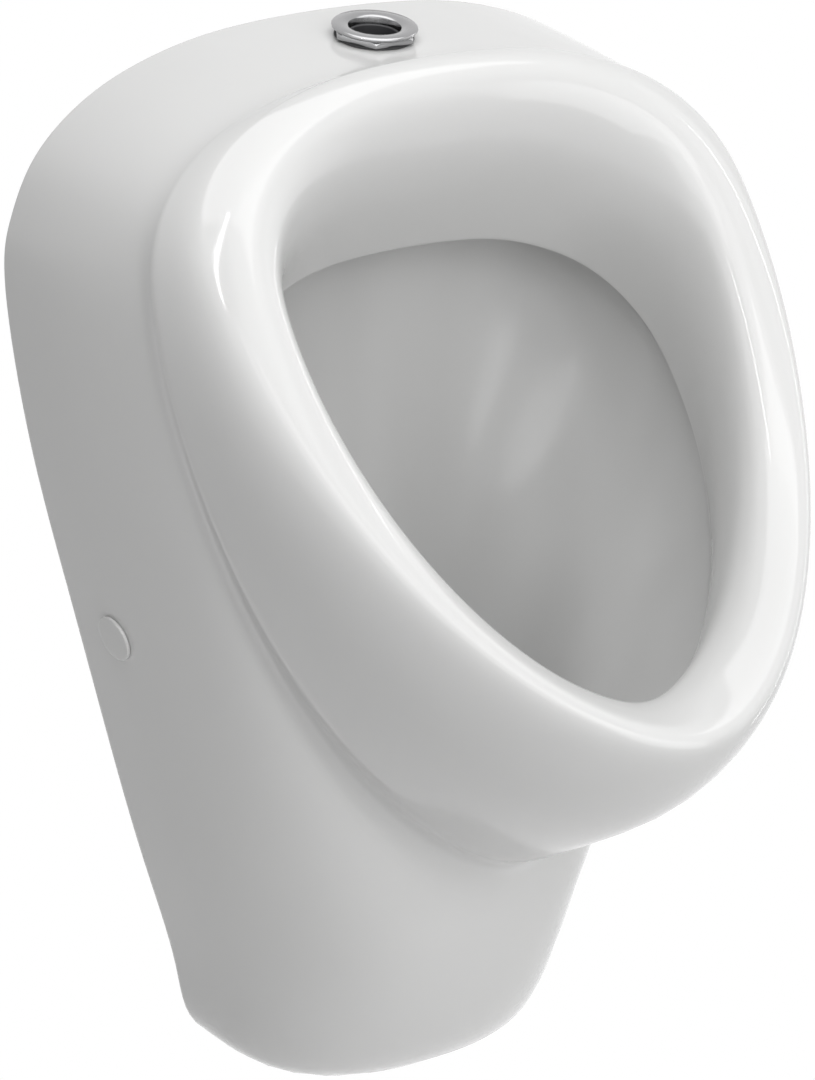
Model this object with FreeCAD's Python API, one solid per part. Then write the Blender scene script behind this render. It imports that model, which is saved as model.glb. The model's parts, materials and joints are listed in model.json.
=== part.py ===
"""Wall hung urinal, built as separate pieces in one shared frame.

Millimetres, +Z up. The wall plane is Y = 0 and the bowl faces -Y. X = 0 is the plane of symmetry.
Heights are written from the lowest point of the ceramic and moved at the end, so that the
frame starts at the middle of the four wall fixing holes.
"""
import FreeCAD
import Part
import math
import os

V = FreeCAD.Vector

# --- clearances ---------------------------------------------------------------------------
GAP = 0.1                 # between two pieces that stay together
FREE = 0.3                # between two pieces of which one comes away

# --- ceramic ------------------------------------------------------------------------------
HEIGHT = 553.0            # lowest point of the chin to the back edge of the top shelf
WIDTH = 366.0             # widest part of the outline on the wall
DEPTH = 327.0             # wall to the front of the rim
WALL = 9.0                # thickness of the ceramic
SEAT = 8.2                # thickness left where a nut bears on the back of the shelf
BACK_EDGE = 12.0          # width of the ceramic edge that bears on the wall
RING_POINTS = 28          # points on each ring of the ceramic

SHELF_DEPTH = 82.0        # wall to the crease at the front of the top shelf
SHELF_DROP = 12.0         # fall of the top shelf between the wall and the crease
CREASE_WIDTH = 330.0      # widest part of the crease where the rim meets the body
CREASE_DEPTH = 158.0      # wall to the crease under the front lip
CREASE_LOW = 156.0        # height of the crease under the front lip
RIM_TOP_DEPTH = 100.0     # wall to the crest of the rim at the top
RIM_TOP_DROP = 4.0        # top of the outline to the crest of the rim
RIM_LOW = 275.0           # height of the crest at the front
RIM_WIDTH = 300.0         # widest part of the crest
RIM_FACE = 21.0           # width of the rim's face at the sides
LIP_DEPTH = 18.0          # crest to lip at the top
LIP_FRONT = 42.0          # crest to lip at the front
OPENING_WIDTH = 260.0     # widest part of the sharp edge inside the hood
HOOD_DEPTH = 71.0         # wall to the sharp edge under the hood
HOOD_DROP = 106.5         # top of the outline to the sharp edge under the hood
OPENING_FRONT = 103.0     # front of the rim to the sharp edge at the bottom
OPENING_DROP = 64.0       # crest at the front to the sharp edge at the bottom
BOWL_BACK = 31.0          # wall to the back of the bowl

DRAIN_Y = -76.0
DRAIN_Z = 123.0
DRAIN_R = 23.0

# --- water inlet and flush ------------------------------------------------------------------
INLET_Y = -43.2           # middle of the water inlet on the shelf
INLET_TUBE_R = 16.0
INLET_TUBE_L = 34.0
INLET_TUBE_WALL = 2.9
INLET_HOLE_PLAY = 0.6     # between the tube and the hole in the ceramic
INLET_RING_FLANGE = 5.25  # how far the chrome ring stands out past the tube
INLET_RING_T = 2.2
INLET_NUT_WALL = 2.5      # tube to the flats of the chrome nut
INLET_NUT_T = 3.0
INLET_GASKET_FLANGE = 3.7
INLET_GASKET_T = 1.2
INLET_SLEEVE_T = 1.5      # wall of the sleeve inside the tube
INLET_SLEEVE_L = 18.0
WASHER_FLANGE = 9.0       # width of the washer under the shelf
WASHER_T = 2.3
LOCKNUT_WALL = 7.0
LOCKNUT_T = 8.0
PLUG_L = 10.0             # reducer inside the tube
PLUG_RIM_T = 2.4
TAIL_L = 8.0              # hose tail of the reducer
TAIL_BORE_R = 4.5

HOSE_R = 8.5
HOSE_WALL = 2.2
HOSE_TURN = 40.0          # degrees that each bend of the hose leans from upright
HOSE_END_RUN = 6.0        # straight run at each end of the hose

NOZZLE_Y = -52.0
NOZZLE_R = 7.0
NOZZLE_BORE_R = 3.6
NOZZLE_L = 12.0           # shank below its seat on the hood
NOZZLE_COLLAR_R = 12.5
NOZZLE_COLLAR_T = 3.8
NOZZLE_WASHER_T = 2.0
NOZZLE_TAIL_L = 5.5
HOOD_SEAT = 14.0          # sharp edge under the hood to the nozzle's seat above it
SEAT_MARGIN = 4.5         # seat in the hood past the collar

# --- wall fixings ---------------------------------------------------------------------------
FIX_INSET = 73.0          # side of the outline to the wall fixing holes
FIX_LOW = 264.0           # height of the lower pair
FIX_DROP = 113.0          # top of the outline to the upper pair
FIX_HOLE_R = 4.5
STEEL = 4.0
HOOK_REACH = 29.0         # how far the hanger bracket stands out from the wall
HOOK_RISE = 18.0          # fixing hole to the top of the hook
HANGER_HALF = 20.0        # half the width of the hanger bracket
HOOK_LIP = 8.0            # how far the hook's end stands up
LUG_T = 16.0              # thickness of the ceramic shoulder on the hook
PAD_T = 2.0
ANGLE_REACH = 54.0        # how far the side bracket stands out from the wall
ANGLE_LOW = 14.0
ANGLE_HIGH = 20.0

CAP_R = 12.0
CAP_Y = -39.0
CAP_T = 2.2
CAP_STEM_L = 5.5
CAP_STEM_WALL = 1.3
SIDE_HOLE_R = 7.5
SIDE_SCREW_R = 3.0
SIDE_HEAD_R = 5.1
SIDE_HEAD_T = 2.8
SIDE_SCREW_L = 16.0       # screw past the ceramic
SOCKET_AF = 4.0           # hexagon socket of the side screw
PLUG_R = 7.0              # plastic plug in the side bracket
SIDE_PLUG_L = 17.0

# --- waste and trap -------------------------------------------------------------------------
PIPE_WALL = 2.4
STRAINER_T = 2.4
STRAINER_SINK = 0.8       # edge of the bowl to the top of the strainer
STRAINER_LEDGE = 2.8      # width of the ledge under the strainer
SCREW_R = 2.5
SCREW_HEAD_R = 5.2
WASTE_GASKET_T = 4.0
FLANGE_T = 3.2
FLANGE_R = 29.0
WASTE_WALL = 3.4
BRIDGE_HALF = 4.0
NUT_T = 5.4
NECK_WALL = 4.0
TRAP_R = 27.0
TRAP_TOP_T = 2.6
DRAIN_TO_OUTLET = 45.0    # height of the drain above the waste outlet
TRAP_SPLIT = 28.0         # outlet down to the joint between the halves of the trap
TRAP_DROP = 46.0          # outlet down to the bottom of the trap
CUP_SOFT = 7.0
CUP_SKIRT = 3.0           # how far the cup's step lies under the joint
DIP_WALL = 1.6
DIP_DROP = 40.0           # outlet down to the end of the dip tube
BRANCH_R = 18.0
OUTLET_R = 25.0
OUTLET_DEPTH = 30.0
SOCKET_T = 3.0
SPIGOT = 6.0              # how far the branch ends short of the wide part of the socket
GROOVE = 2.4              # depth of the groove for the seal
GROOVE_FROM = 2.5
GROOVE_TO = 8.5
COLLAR_L = 11.0

# --- derived heights ------------------------------------------------------------------------
FIX_X = WIDTH / 2 - FIX_INSET
FIX_HIGH = HEIGHT - FIX_DROP
FIX_MID = (FIX_LOW + FIX_HIGH) / 2
INLET_BORE_R = INLET_TUBE_R - INLET_TUBE_WALL
INLET_RING_R = INLET_TUBE_R + INLET_RING_FLANGE
NUT_LOW = INLET_GASKET_T + 2 * GAP
RING_LOW = NUT_LOW + INLET_NUT_T + GAP
TAIL_R = HOSE_R - HOSE_WALL - GAP
NOZZLE_SEAT = HEIGHT - HOOD_DROP + HOOD_SEAT
COLLAR_LOW = NOZZLE_SEAT + NOZZLE_WASHER_T + GAP
STRAINER_LOW = DRAIN_Z - STRAINER_SINK - STRAINER_T
LEDGE = STRAINER_LOW - FREE
WASTE_SEAT = DRAIN_Z - WALL - 1
PIPE_R = DRAIN_R - STRAINER_LEDGE - FREE
FLANGE_TOP = WASTE_SEAT - WASTE_GASKET_T
FLANGE_LOW = FLANGE_TOP - FLANGE_T
NECK_TOP = FLANGE_LOW - 0.8
HEAD_TOP = NECK_TOP - NUT_T + 0.4
NECK_R = PIPE_R + GAP + NECK_WALL
OUTLET_Z = DRAIN_Z - DRAIN_TO_OUTLET
SPLIT_Z = OUTLET_Z - TRAP_SPLIT
TRAP_LOW = OUTLET_Z - TRAP_DROP
SLEEVE_LOW = -WALL - 2
HEAD_LOW = SLEEVE_LOW + 2.4


# --- rings --------------------------------------------------------------------------------
def power(value, exponent):
    """A power that keeps the sign of its base."""
    return math.copysign(abs(value) ** exponent, value)


def downness(j):
    """0 at the top point of a ring, 1 at its bottom point."""
    return (1 - math.cos(2 * math.pi * j / RING_POINTS)) / 2


def mixed(a, b, share):
    """Part of the way from a to b; a and b are numbers or (y, z) points."""
    if isinstance(a, tuple):
        return tuple(mixed(p, q, share) for p, q in zip(a, b))
    return a + (b - a) * share


def egg(width, wide_at, top, low, round_top, round_low, lean=1.0):
    """Egg shaped ring; top and low are (y, z) of its points on the plane of symmetry.

    It is widest at a share of its height, counted from its low point.
    """
    z_wide = mixed(low[1], top[1], wide_at)
    ring = []
    for j in range(RING_POINTS):
        angle = 2 * math.pi * j / RING_POINTS
        upper = math.cos(angle) > 0
        roundness = round_top if upper else round_low
        reach = top[1] - z_wide if upper else z_wide - low[1]
        x = width / 2 * power(math.sin(angle), 2 / roundness)
        z = z_wide + reach * power(math.cos(angle), 2 / roundness)
        fall = max(0.0, (top[1] - z) / (top[1] - low[1]))
        ring.append(V(x, top[0] + (low[0] - top[0]) * fall ** lean, z))
    return ring


def circle_ring(radius, y, z):
    """Level circle with the same number of points as the eggs, starting at the wall side."""
    step = 2 * math.pi / RING_POINTS
    return [V(radius * math.sin(j * step), y + radius * math.cos(j * step), z) for j in range(RING_POINTS)]


def wall_ring():
    """Outline on the wall: round shoulders, straight flanks that narrow, small lower corners."""
    upper = egg(WIDTH, 0.79, (0, HEIGHT), (0, 0), 2.47, 2.0)[:RING_POINTS // 4 + 1]
    flank = [
        (0.943, 0.649),
        (0.842, 0.501),
        (0.735, 0.353),
        (0.631, 0.219),
        (0.536, 0.103),
        (0.426, 0.025),
        (0, 0.0145),
    ]
    lower = [V(x * WIDTH / 2, 0, z * HEIGHT) for x, z in flank]
    half = upper + lower
    return half + [V(-p.x, p.y, p.z) for p in half[-2:0:-1]]


def bulged(a, b, share, bulge):
    """Ring between a and b, pushed out of the straight strip by bulge(downness)."""
    ring = []
    for j in range(RING_POINTS):
        along = a[(j + 1) % RING_POINTS] - a[j - 1]
        normal = (b[j] - a[j]).cross(along)
        normal.normalize()
        ring.append(a[j] + (b[j] - a[j]) * share + normal * bulge(downness(j)))
    return ring


def body_ring(wall, crease, turn):
    """Ring on the body: straight at the top shelf, quarter round under the chin."""
    c = math.cos(turn)
    s = math.sin(turn)
    sag = HEIGHT * 0.043 * math.sin(2 * turn)
    ring = []
    for j in range(RING_POINTS):
        k = downness(j)
        w = wall[j]
        e = crease[j]
        flat = w + (e - w) * (turn / (math.pi / 2))
        x = e.x + (w.x - e.x) * c ** (1 + 1.3 * k)
        turned = V(x, e.y * s, w.z + (e.z - w.z) * (1 - c) - sag * k ** 24)
        ring.append(flat + (turned - flat) * k ** 0.7)
    return ring


def rim_bulge(scale):
    """Bulge of the rim's outer side: small at the sides, large under the front."""
    return lambda k: scale * (4.5 * min(1, 2 * k) + 27 * max(0, k - 0.5))


def pushed(rings, i, distance):
    """Ring i moved along the surface normals of the rings around it."""
    before = rings[max(i - 1, 0)]
    after = rings[min(i + 1, len(rings) - 1)]
    ring = []
    for j in range(RING_POINTS):
        along = rings[i][(j + 1) % RING_POINTS] - rings[i][j - 1]
        normal = (after[j] - before[j]).cross(along)
        normal.normalize()
        ring.append(rings[i][j] + normal * distance)
    return ring


# --- surfaces and solids --------------------------------------------------------------------
def ring_poles(ring):
    """Control points of the even, closed cubic curve through a ring."""
    poles = list(ring)
    for turn in range(60):
        for j in range(RING_POINTS):
            after = poles[(j + 1) % RING_POINTS]
            poles[j] = (ring[j] * 6 - poles[j - 1] - after) / 4
    return poles


def skin(rings):
    """Smooth surface through the rings, closed round them, with its seam at the lowest points."""
    half = RING_POINTS // 2
    across = [0.0]
    for a, b in zip(rings, rings[1:]):
        step = sum((p - q).Length for p, q in zip(a, b)) / RING_POINTS
        across.append(across[-1] + step ** 0.8)
    columns = [ring_poles(ring[half:] + ring[:half]) for ring in rings]
    net = []
    for k in range(RING_POINTS):
        line = Part.BSplineCurve()
        line.interpolate(Points=[poles[k] for poles in columns], Parameters=across)
        net.append(line.getPoles())
    around = [float(j) for j in range(RING_POINTS + 1)]
    ones = [1] * len(around)
    ends = line.getMultiplicities()
    surface = Part.BSplineSurface()
    surface.buildFromPolesMultsKnots(net, ones, ends, around, line.getKnots(), True, False, 3, 3)
    return surface


def closed_solid(rings):
    """Solid between a first and a last flat ring."""
    surface = skin(rings)
    faces = [surface.toShape()]
    v_first, v_last = surface.bounds()[2:]
    for v in (v_first, v_last):
        faces.append(Part.Face(Part.Wire(surface.vIso(v).toShape())))
    shell = Part.makeShell(faces)
    shell.sewShape()
    solid = Part.Solid(Part.Shell(shell.Faces))
    if solid.Volume < 0:
        solid.reverse()
    return solid


def disc(radius, low, high, x=0.0, y=0.0):
    """Upright cylinder between two heights."""
    return Part.makeCylinder(radius, high - low, V(x, y, low))


def tube(outer, inner, low, high, x=0.0, y=0.0):
    """Upright pipe between two heights."""
    return disc(outer, low, high, x, y).cut(disc(inner, low - 1, high + 1, x, y))


def level_rod(radius, near, far, z):
    """Cylinder along Y; near and far are distances from the wall."""
    return Part.makeCylinder(radius, far - near, V(0, -far, z), V(0, 1, 0))


def hexagon(across_flats, low, high):
    """Six sided bar with its corners turned off a little."""
    corner = across_flats / math.sqrt(3)
    points = []
    for n in range(7):
        angle = math.radians(60 * n)
        points.append(V(corner * math.cos(angle), corner * math.sin(angle), low))
    bar = Part.Face(Part.makePolygon(points)).extrude(V(0, 0, high - low))
    cone = Part.makeCone(corner * 0.93 + high - low, corner * 0.93, high - low, V(0, 0, low))
    return bar.common(cone)


def turned(outline):
    """Solid of revolution about Z; outline is a list of (radius, height)."""
    points = [V(r, 0, z) for r, z in outline]
    face = Part.Face(Part.makePolygon(points + points[:1]))
    return face.revolve(V(0, 0, 0), V(0, 0, 1), 360)


def box(x0, x1, y0, y1, z0, z1):
    """Box between two corners."""
    return Part.makeBox(x1 - x0, y1 - y0, z1 - z0, V(x0, y0, z0))


def mirrored(shape):
    """Mirror image on the other side of the plane of symmetry."""
    return shape.mirror(V(0, 0, 0), V(1, 0, 0))


def pair(shape):
    """A left piece and its mirror image, in one node."""
    return Part.makeCompound([shape, mirrored(shape)])


def edges_at(shape, height, radius):
    """Circular edges of a given radius in a level plane."""
    found = []
    for edge in shape.Edges:
        curve = edge.Curve
        if isinstance(curve, Part.Circle) and abs(curve.Radius - radius) < 1e-6:
            if abs(curve.Center.z - height) < 1e-6:
                found.append(edge)
    return found


# --- ceramic --------------------------------------------------------------------------------
def outer_rings():
    """Rings from the wall to the crest of the rim."""
    wall = wall_ring()
    shelf = (-SHELF_DEPTH, HEIGHT - SHELF_DROP)
    crease = egg(CREASE_WIDTH, 0.761, shelf, (-CREASE_DEPTH, CREASE_LOW), 2.6, 1.63, 0.72)
    top = (-RIM_TOP_DEPTH, HEIGHT - RIM_TOP_DROP)
    crest = egg(RIM_WIDTH, 0.6825, top, (-DEPTH, RIM_LOW), 2.35, 1.78, 1.25)
    rings = [wall]
    rings += [body_ring(wall, crease, math.radians(a)) for a in (22.5, 45, 67.5)]
    rings += [crease]
    for share, size in ((0.3, 0.7), (0.62, 1.0), (0.88, 0.6)):
        rings.append(bulged(crease, crest, share, rim_bulge(size)))
    rings += [crest]
    return rings


def edge_points():
    """Top and low point of the sharp edge inside the rim, as (y, z)."""
    return (-HOOD_DEPTH, HEIGHT - HOOD_DROP), (OPENING_FRONT - DEPTH, RIM_LOW - OPENING_DROP)


def hood_rings(crest):
    """Rings from the crest over the inner face of the rim to the sharp edge of the opening."""
    top = (-RIM_TOP_DEPTH - LIP_DEPTH, HEIGHT - RIM_TOP_DROP - LIP_DEPTH / 2)
    low = (LIP_FRONT - DEPTH, RIM_LOW + LIP_FRONT / 5)
    lip = egg(RIM_WIDTH - 2 * RIM_FACE, 0.7047, top, low, 2.3, 1.8, 1.1)
    edge = egg(OPENING_WIDTH, 0.59, *edge_points(), 2.6, 1.88)
    crown = bulged(crest, lip, 0.45, lambda k: 5.0)
    upper = bulged(lip, edge, 0.3, lambda k: 8 - 4 * k)
    lower = bulged(lip, edge, 0.65, lambda k: 7 - 4 * k)
    return [crown, lip, upper, lower, edge]


def bowl_rings():
    """Rings behind the sharp edge: undercut, back of the bowl, waste outlet.

    The low points run from the sharp edge to a throat over the crease and on to the drain.
    """
    edge_top, edge_low = edge_points()
    throat = (14 - CREASE_DEPTH, CREASE_LOW + 15)
    drain = (DRAIN_Y - DRAIN_R, DRAIN_Z)
    rows = [
        # width, height of the top, distance from the back, low point, widest at, roundness
        (1.023, 1.017, 20, mixed(edge_low, throat, 0.175), 0.617, 2.6, 1.78),
        (0.972, 0.971, 6, mixed(edge_low, throat, 0.425), 0.642, 2.5, 1.72),
        (0.776, 0.828, 1, mixed(edge_low, throat, 0.725), 0.689, 2.4, 1.75),
        (0.542, 0.618, 0, throat, 0.625, 2.2, 1.85),
        (0.336, 0.359, 2, mixed(throat, drain, 0.45), 0.567, 2.1, 1.95),
        (0.14, 0.139, 13, mixed(throat, drain, 0.72), 0.594, 2.0, 2.0),
    ]
    rings = []
    for width, height, forward, low, wide_at, round_top, round_low in rows:
        across = mixed(2 * DRAIN_R, OPENING_WIDTH, width)
        top = (-BOWL_BACK - forward, mixed(DRAIN_Z, edge_top[1], height))
        rings.append(egg(across, wide_at, top, low, round_top, round_low))
    rings.append(circle_ring(DRAIN_R, DRAIN_Y, DRAIN_Z))
    return rings


def hollow(outer, inner):
    """Space behind the ceramic: the body made thinner, less the bowl made thicker."""
    top = (8 - SHELF_DEPTH, HEIGHT - SHELF_DROP - WALL - 1)
    low = (12 - CREASE_DEPTH, CREASE_LOW - 16)
    front = egg(CREASE_WIDTH - 2 * WALL - 2, 0.79, top, low, 2.6, 1.6)
    start = [V(p.x, 0, p.z) for p in pushed(outer, 0, -BACK_EDGE)]
    behind = [V(p.x, 3, p.z) for p in start]
    space = closed_solid([behind, start, pushed(outer, 1, -WALL), pushed(outer, 2, -WALL), front])
    thick = [pushed(inner, i, -WALL) for i in range(3, len(inner) - 1)]
    lip_low = (LIP_FRONT + 3 - DEPTH, RIM_LOW - 4)
    first = egg(RIM_WIDTH - RIM_FACE, 0.663, (-RIM_TOP_DEPTH - LIP_DEPTH, HEIGHT), lip_low, 2.3, 1.8)
    last = circle_ring(DRAIN_R + WALL, DRAIN_Y, WASTE_SEAT)
    bowl = closed_solid([first] + thick + [last])
    return space.cut(bowl)


def shelf_tilt():
    """Slope of the top shelf, in radians."""
    return math.atan2(SHELF_DROP, SHELF_DEPTH)


def inlet_point():
    """Middle of the water inlet on the shelf."""
    return V(0, INLET_Y, HEIGHT + INLET_Y * SHELF_DROP / SHELF_DEPTH)


def on_shelf(shape):
    """Move a piece built around Z to the water inlet, square to the shelf."""
    moved = shape.copy()
    moved.rotate(V(0, 0, 0), V(1, 0, 0), math.degrees(shelf_tilt()))
    moved.translate(inlet_point())
    return moved


def cap_place(surface):
    """Point and outward normal of the left side hole."""
    near = V(-WIDTH * 0.41, CAP_Y, FIX_LOW)
    for step in range(12):
        u, v = surface.parameter(near)
        hit = surface.value(u, v)
        near = V(hit.x, CAP_Y, FIX_LOW)
    normal = surface.normal(*surface.parameter(hit))
    if normal.x > 0:
        normal = normal * -1
    return hit, normal


def along(shape, point, normal):
    """Move a piece built around Z so that Z becomes the normal at the point."""
    moved = shape.copy()
    turn = FreeCAD.Rotation(V(0, 0, 1), normal)
    moved.Placement = FreeCAD.Placement(point, turn).multiply(moved.Placement)
    return moved


def hanger_lug():
    """Ceramic shoulder inside the body that rests on the upper bracket (right side)."""
    low = FIX_HIGH + HOOK_RISE + PAD_T
    inner = FIX_X - HANGER_HALF + 2
    return box(inner, FIX_X + 58, STEEL + 1 - HOOK_REACH, -STEEL - FREE, low, low + LUG_T)


def ceramic_cuts(hole_at, hole_axis):
    """Holes and seats in the ceramic."""
    cuts = [on_shelf(disc(INLET_TUBE_R + INLET_HOLE_PLAY, -30, 20))]
    cuts.append(on_shelf(disc(INLET_TUBE_R + WASHER_FLANGE + 2, -30, -SEAT)))
    cuts.append(disc(NOZZLE_R + FREE, NOZZLE_SEAT - 31, NOZZLE_SEAT + 1, 0, NOZZLE_Y))
    cuts.append(disc(NOZZLE_COLLAR_R + SEAT_MARGIN, NOZZLE_SEAT, NOZZLE_SEAT + 29, 0, NOZZLE_Y))
    cuts.append(disc(PIPE_R + FREE, WASTE_SEAT - 13, DRAIN_Z + 5, 0, DRAIN_Y))
    cuts.append(disc(DRAIN_R + 0.2, LEDGE, DRAIN_Z + 2, 0, DRAIN_Y))
    side = along(disc(SIDE_HOLE_R, -WALL - 11, 10), hole_at, hole_axis)
    return cuts + [side, mirrored(side)]


def ceramic(hole_at, hole_axis):
    """The one ceramic piece: body, rim, hood and bowl."""
    outer = outer_rings()
    inner = hood_rings(outer[-1]) + bowl_rings()
    body = closed_solid(outer + inner)
    body = body.cut(hollow(outer, inner))
    for lug in (hanger_lug(), mirrored(hanger_lug())):
        body = body.fuse(lug)
    for tool in ceramic_cuts(hole_at, hole_axis):
        body = body.cut(tool)
    return body


# --- water inlet ----------------------------------------------------------------------------
def inlet_ring():
    """Chrome ring and tube, turned in one piece."""
    top = RING_LOW + INLET_RING_T
    soft = 0.8
    outline = [
        (INLET_BORE_R, -INLET_TUBE_L),
        (INLET_TUBE_R, -INLET_TUBE_L),
        (INLET_TUBE_R, RING_LOW),
        (INLET_RING_R - soft, RING_LOW),
        (INLET_RING_R, RING_LOW + soft),
        (INLET_RING_R, top - soft),
        (INLET_RING_R - soft, top),
        (INLET_BORE_R + soft, top),
        (INLET_BORE_R, top - soft),
    ]
    return on_shelf(turned(outline))


def inlet_nut(wall, low, high):
    """Hexagon nut that fits round the tube."""
    nut = hexagon(2 * (INLET_TUBE_R + wall), low, high)
    return on_shelf(nut.cut(disc(INLET_TUBE_R + GAP, low - 1, high + 1)))


def inlet_gasket():
    """Rubber gasket under the chrome nut."""
    return on_shelf(tube(INLET_TUBE_R + INLET_GASKET_FLANGE, INLET_TUBE_R + GAP, GAP, GAP + INLET_GASKET_T))


def inlet_insert():
    """Thin sleeve inside the tube with a rolled lip."""
    outer = INLET_BORE_R - GAP
    inner = outer - INLET_SLEEVE_T
    sleeve = tube(outer, inner, -INLET_SLEEVE_L, 1.5)
    roll = Part.makeTorus((outer + inner) / 2, INLET_SLEEVE_T / 2, V(0, 0, 1.5))
    return on_shelf(sleeve.fuse(roll))


def inlet_washer():
    """Rubber washer under the shelf."""
    top = -SEAT - GAP
    return on_shelf(tube(INLET_TUBE_R + WASHER_FLANGE, INLET_TUBE_R + GAP, top - WASHER_T, top))


def inlet_locknut():
    """Nut that clamps the inlet to the shelf."""
    top = -SEAT - WASHER_T - 2 * GAP
    return inlet_nut(LOCKNUT_WALL, top - LOCKNUT_T, top)


def inlet_reducer():
    """Plug in the lower end of the tube with a tail for the hose."""
    end = -INLET_TUBE_L
    plug = disc(INLET_BORE_R - GAP, end, end + PLUG_L)
    rim = disc(INLET_TUBE_R, end - GAP - PLUG_RIM_T, end - GAP)
    tail = disc(TAIL_R, end - TAIL_L, end)
    bore = disc(TAIL_BORE_R, end - TAIL_L - 1, end + PLUG_L + 1)
    return on_shelf(plug.fuse(rim).fuse(tail).cut(bore))


def heading(lean):
    """Direction in the plane of symmetry; lean is 0 straight down."""
    return V(0, -math.sin(lean), -math.cos(lean))


def hose_rod(radius, legs, start, lean):
    """Rod in the plane of symmetry, made of straight runs and bends."""
    solid = None
    at = start
    for kind, size, bend in legs:
        down = heading(lean)
        face = Part.Face(Part.Wire(Part.makeCircle(radius, at, down)))
        if kind == "run":
            piece = face.extrude(down * size)
            at = at + down * size
        else:
            aside = V(0, -math.cos(lean), math.sin(lean)) * math.copysign(bend, size)
            centre = at + aside
            piece = face.revolve(centre, V(-1, 0, 0), math.degrees(size))
            arm = FreeCAD.Rotation(V(-1, 0, 0), math.degrees(size)).multVec(at - centre)
            at = centre + arm
            lean += size
        solid = piece if solid is None else solid.fuse(piece)
    return solid


def hose_legs(start, lean):
    """Runs and bends of the hose: two bends of one radius and a straight run close the S."""
    turn = math.radians(HOSE_TURN)
    run = HOSE_END_RUN
    aside = start.y - NOZZLE_Y - run * math.sin(lean)
    fall = start.z - (COLLAR_LOW + NOZZLE_COLLAR_T + FREE) - run * math.cos(lean) - run
    a = math.cos(lean) + 1 - 2 * math.cos(turn)
    b = math.sin(turn)
    c = 2 * math.sin(turn) - math.sin(lean)
    d = math.cos(turn)
    bend = (aside * d - fall * b) / (a * d - b * c)
    middle = (aside - a * bend) / b
    print("hose bends", round(bend, 2), "straight between them", round(middle, 2))
    down = [("run", run, 0), ("bend", turn - lean, bend), ("run", middle, 0)]
    return down + [("bend", -turn, bend), ("run", run, 0)]


def flush_hose():
    """Rubber hose in an S from the inlet tail to the nozzle."""
    lean = -shelf_tilt()
    start = inlet_point() + heading(lean) * (INLET_TUBE_L + PLUG_RIM_T + 2 * GAP)
    legs = hose_legs(start, lean)
    return hose_rod(HOSE_R, legs, start, lean).cut(hose_rod(HOSE_R - HOSE_WALL, legs, start, lean))


def spray_nozzle():
    """Nozzle that sends the flush water down the back of the bowl."""
    collar_top = COLLAR_LOW + NOZZLE_COLLAR_T
    shank = disc(NOZZLE_R, NOZZLE_SEAT - NOZZLE_L, collar_top, 0, NOZZLE_Y)
    collar = disc(NOZZLE_COLLAR_R, COLLAR_LOW, collar_top, 0, NOZZLE_Y)
    tail = disc(TAIL_R, COLLAR_LOW, collar_top + NOZZLE_TAIL_L, 0, NOZZLE_Y)
    bore = disc(NOZZLE_BORE_R, NOZZLE_SEAT - NOZZLE_L - 1, collar_top + NOZZLE_TAIL_L + 1, 0, NOZZLE_Y)
    return shank.fuse(collar).fuse(tail).cut(bore)


def nozzle_washer():
    """Rubber washer between the collar of the nozzle and the hood."""
    top = COLLAR_LOW - GAP
    return tube(NOZZLE_COLLAR_R, NOZZLE_R + GAP, NOZZLE_SEAT + GAP, top, 0, NOZZLE_Y)


# --- waste and trap -------------------------------------------------------------------------
def strainer_plate():
    """Round plate with two rings of holes and a sunk screw hole."""
    radius = DRAIN_R + 0.2 - FREE
    top = STRAINER_LOW + STRAINER_T
    plate = disc(radius, STRAINER_LOW, top, 0, DRAIN_Y)
    plate = plate.makeFillet(STRAINER_T / 3, edges_at(plate, top, radius))
    for count, place, hole in ((8, 0.415, 2.0), (14, 0.7, 2.2)):
        for n in range(count):
            angle = 2 * math.pi * n / count
            x = radius * place * math.cos(angle)
            y = DRAIN_Y + radius * place * math.sin(angle)
            plate = plate.cut(disc(hole, STRAINER_LOW - 1, top + 1, x, y))
    plate = plate.cut(disc(SCREW_R + 0.4, STRAINER_LOW - 1, top + 1, 0, DRAIN_Y))
    sink = Part.makeCone(SCREW_R + 0.4, SCREW_HEAD_R + GAP, STRAINER_T, V(0, DRAIN_Y, STRAINER_LOW))
    return plate.cut(sink)


def strainer_screw():
    """Sunk screw of the strainer; it ends inside the bridge of the waste."""
    top = STRAINER_LOW + STRAINER_T
    head = Part.makeCone(SCREW_R + 0.4 - GAP, SCREW_HEAD_R, STRAINER_T, V(0, DRAIN_Y, STRAINER_LOW))
    screw = head.fuse(disc(SCREW_R, FLANGE_LOW - 4.8, STRAINER_LOW + 1, 0, DRAIN_Y))
    return screw.cut(box(-SCREW_HEAD_R, SCREW_HEAD_R, DRAIN_Y - 0.5, DRAIN_Y + 0.5, top - 1.1, top + 1))


def waste_body():
    """Plastic waste with the bridge that takes the strainer screw."""
    radius = PIPE_R
    inner = radius - WASTE_WALL
    pipe = tube(radius, inner, HEAD_TOP - 10, LEDGE - 0.3, 0, DRAIN_Y)
    flange = tube(FLANGE_R, radius - 1, FLANGE_LOW, FLANGE_TOP, 0, DRAIN_Y)
    half = BRIDGE_HALF
    bridge = box(-inner - 1.5, inner + 1.5, DRAIN_Y - half, DRAIN_Y + half, FLANGE_LOW - 2.8, FLANGE_TOP + 4)
    hole = disc(SCREW_R + FREE, HEAD_TOP - 10, LEDGE, 0, DRAIN_Y)
    return pipe.fuse(flange).fuse(bridge).cut(hole)


def waste_gasket():
    """Rubber ring between the flange of the waste and the ceramic."""
    return tube(FLANGE_R, PIPE_R + GAP, FLANGE_TOP + GAP, WASTE_SEAT - GAP, 0, DRAIN_Y)


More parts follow.
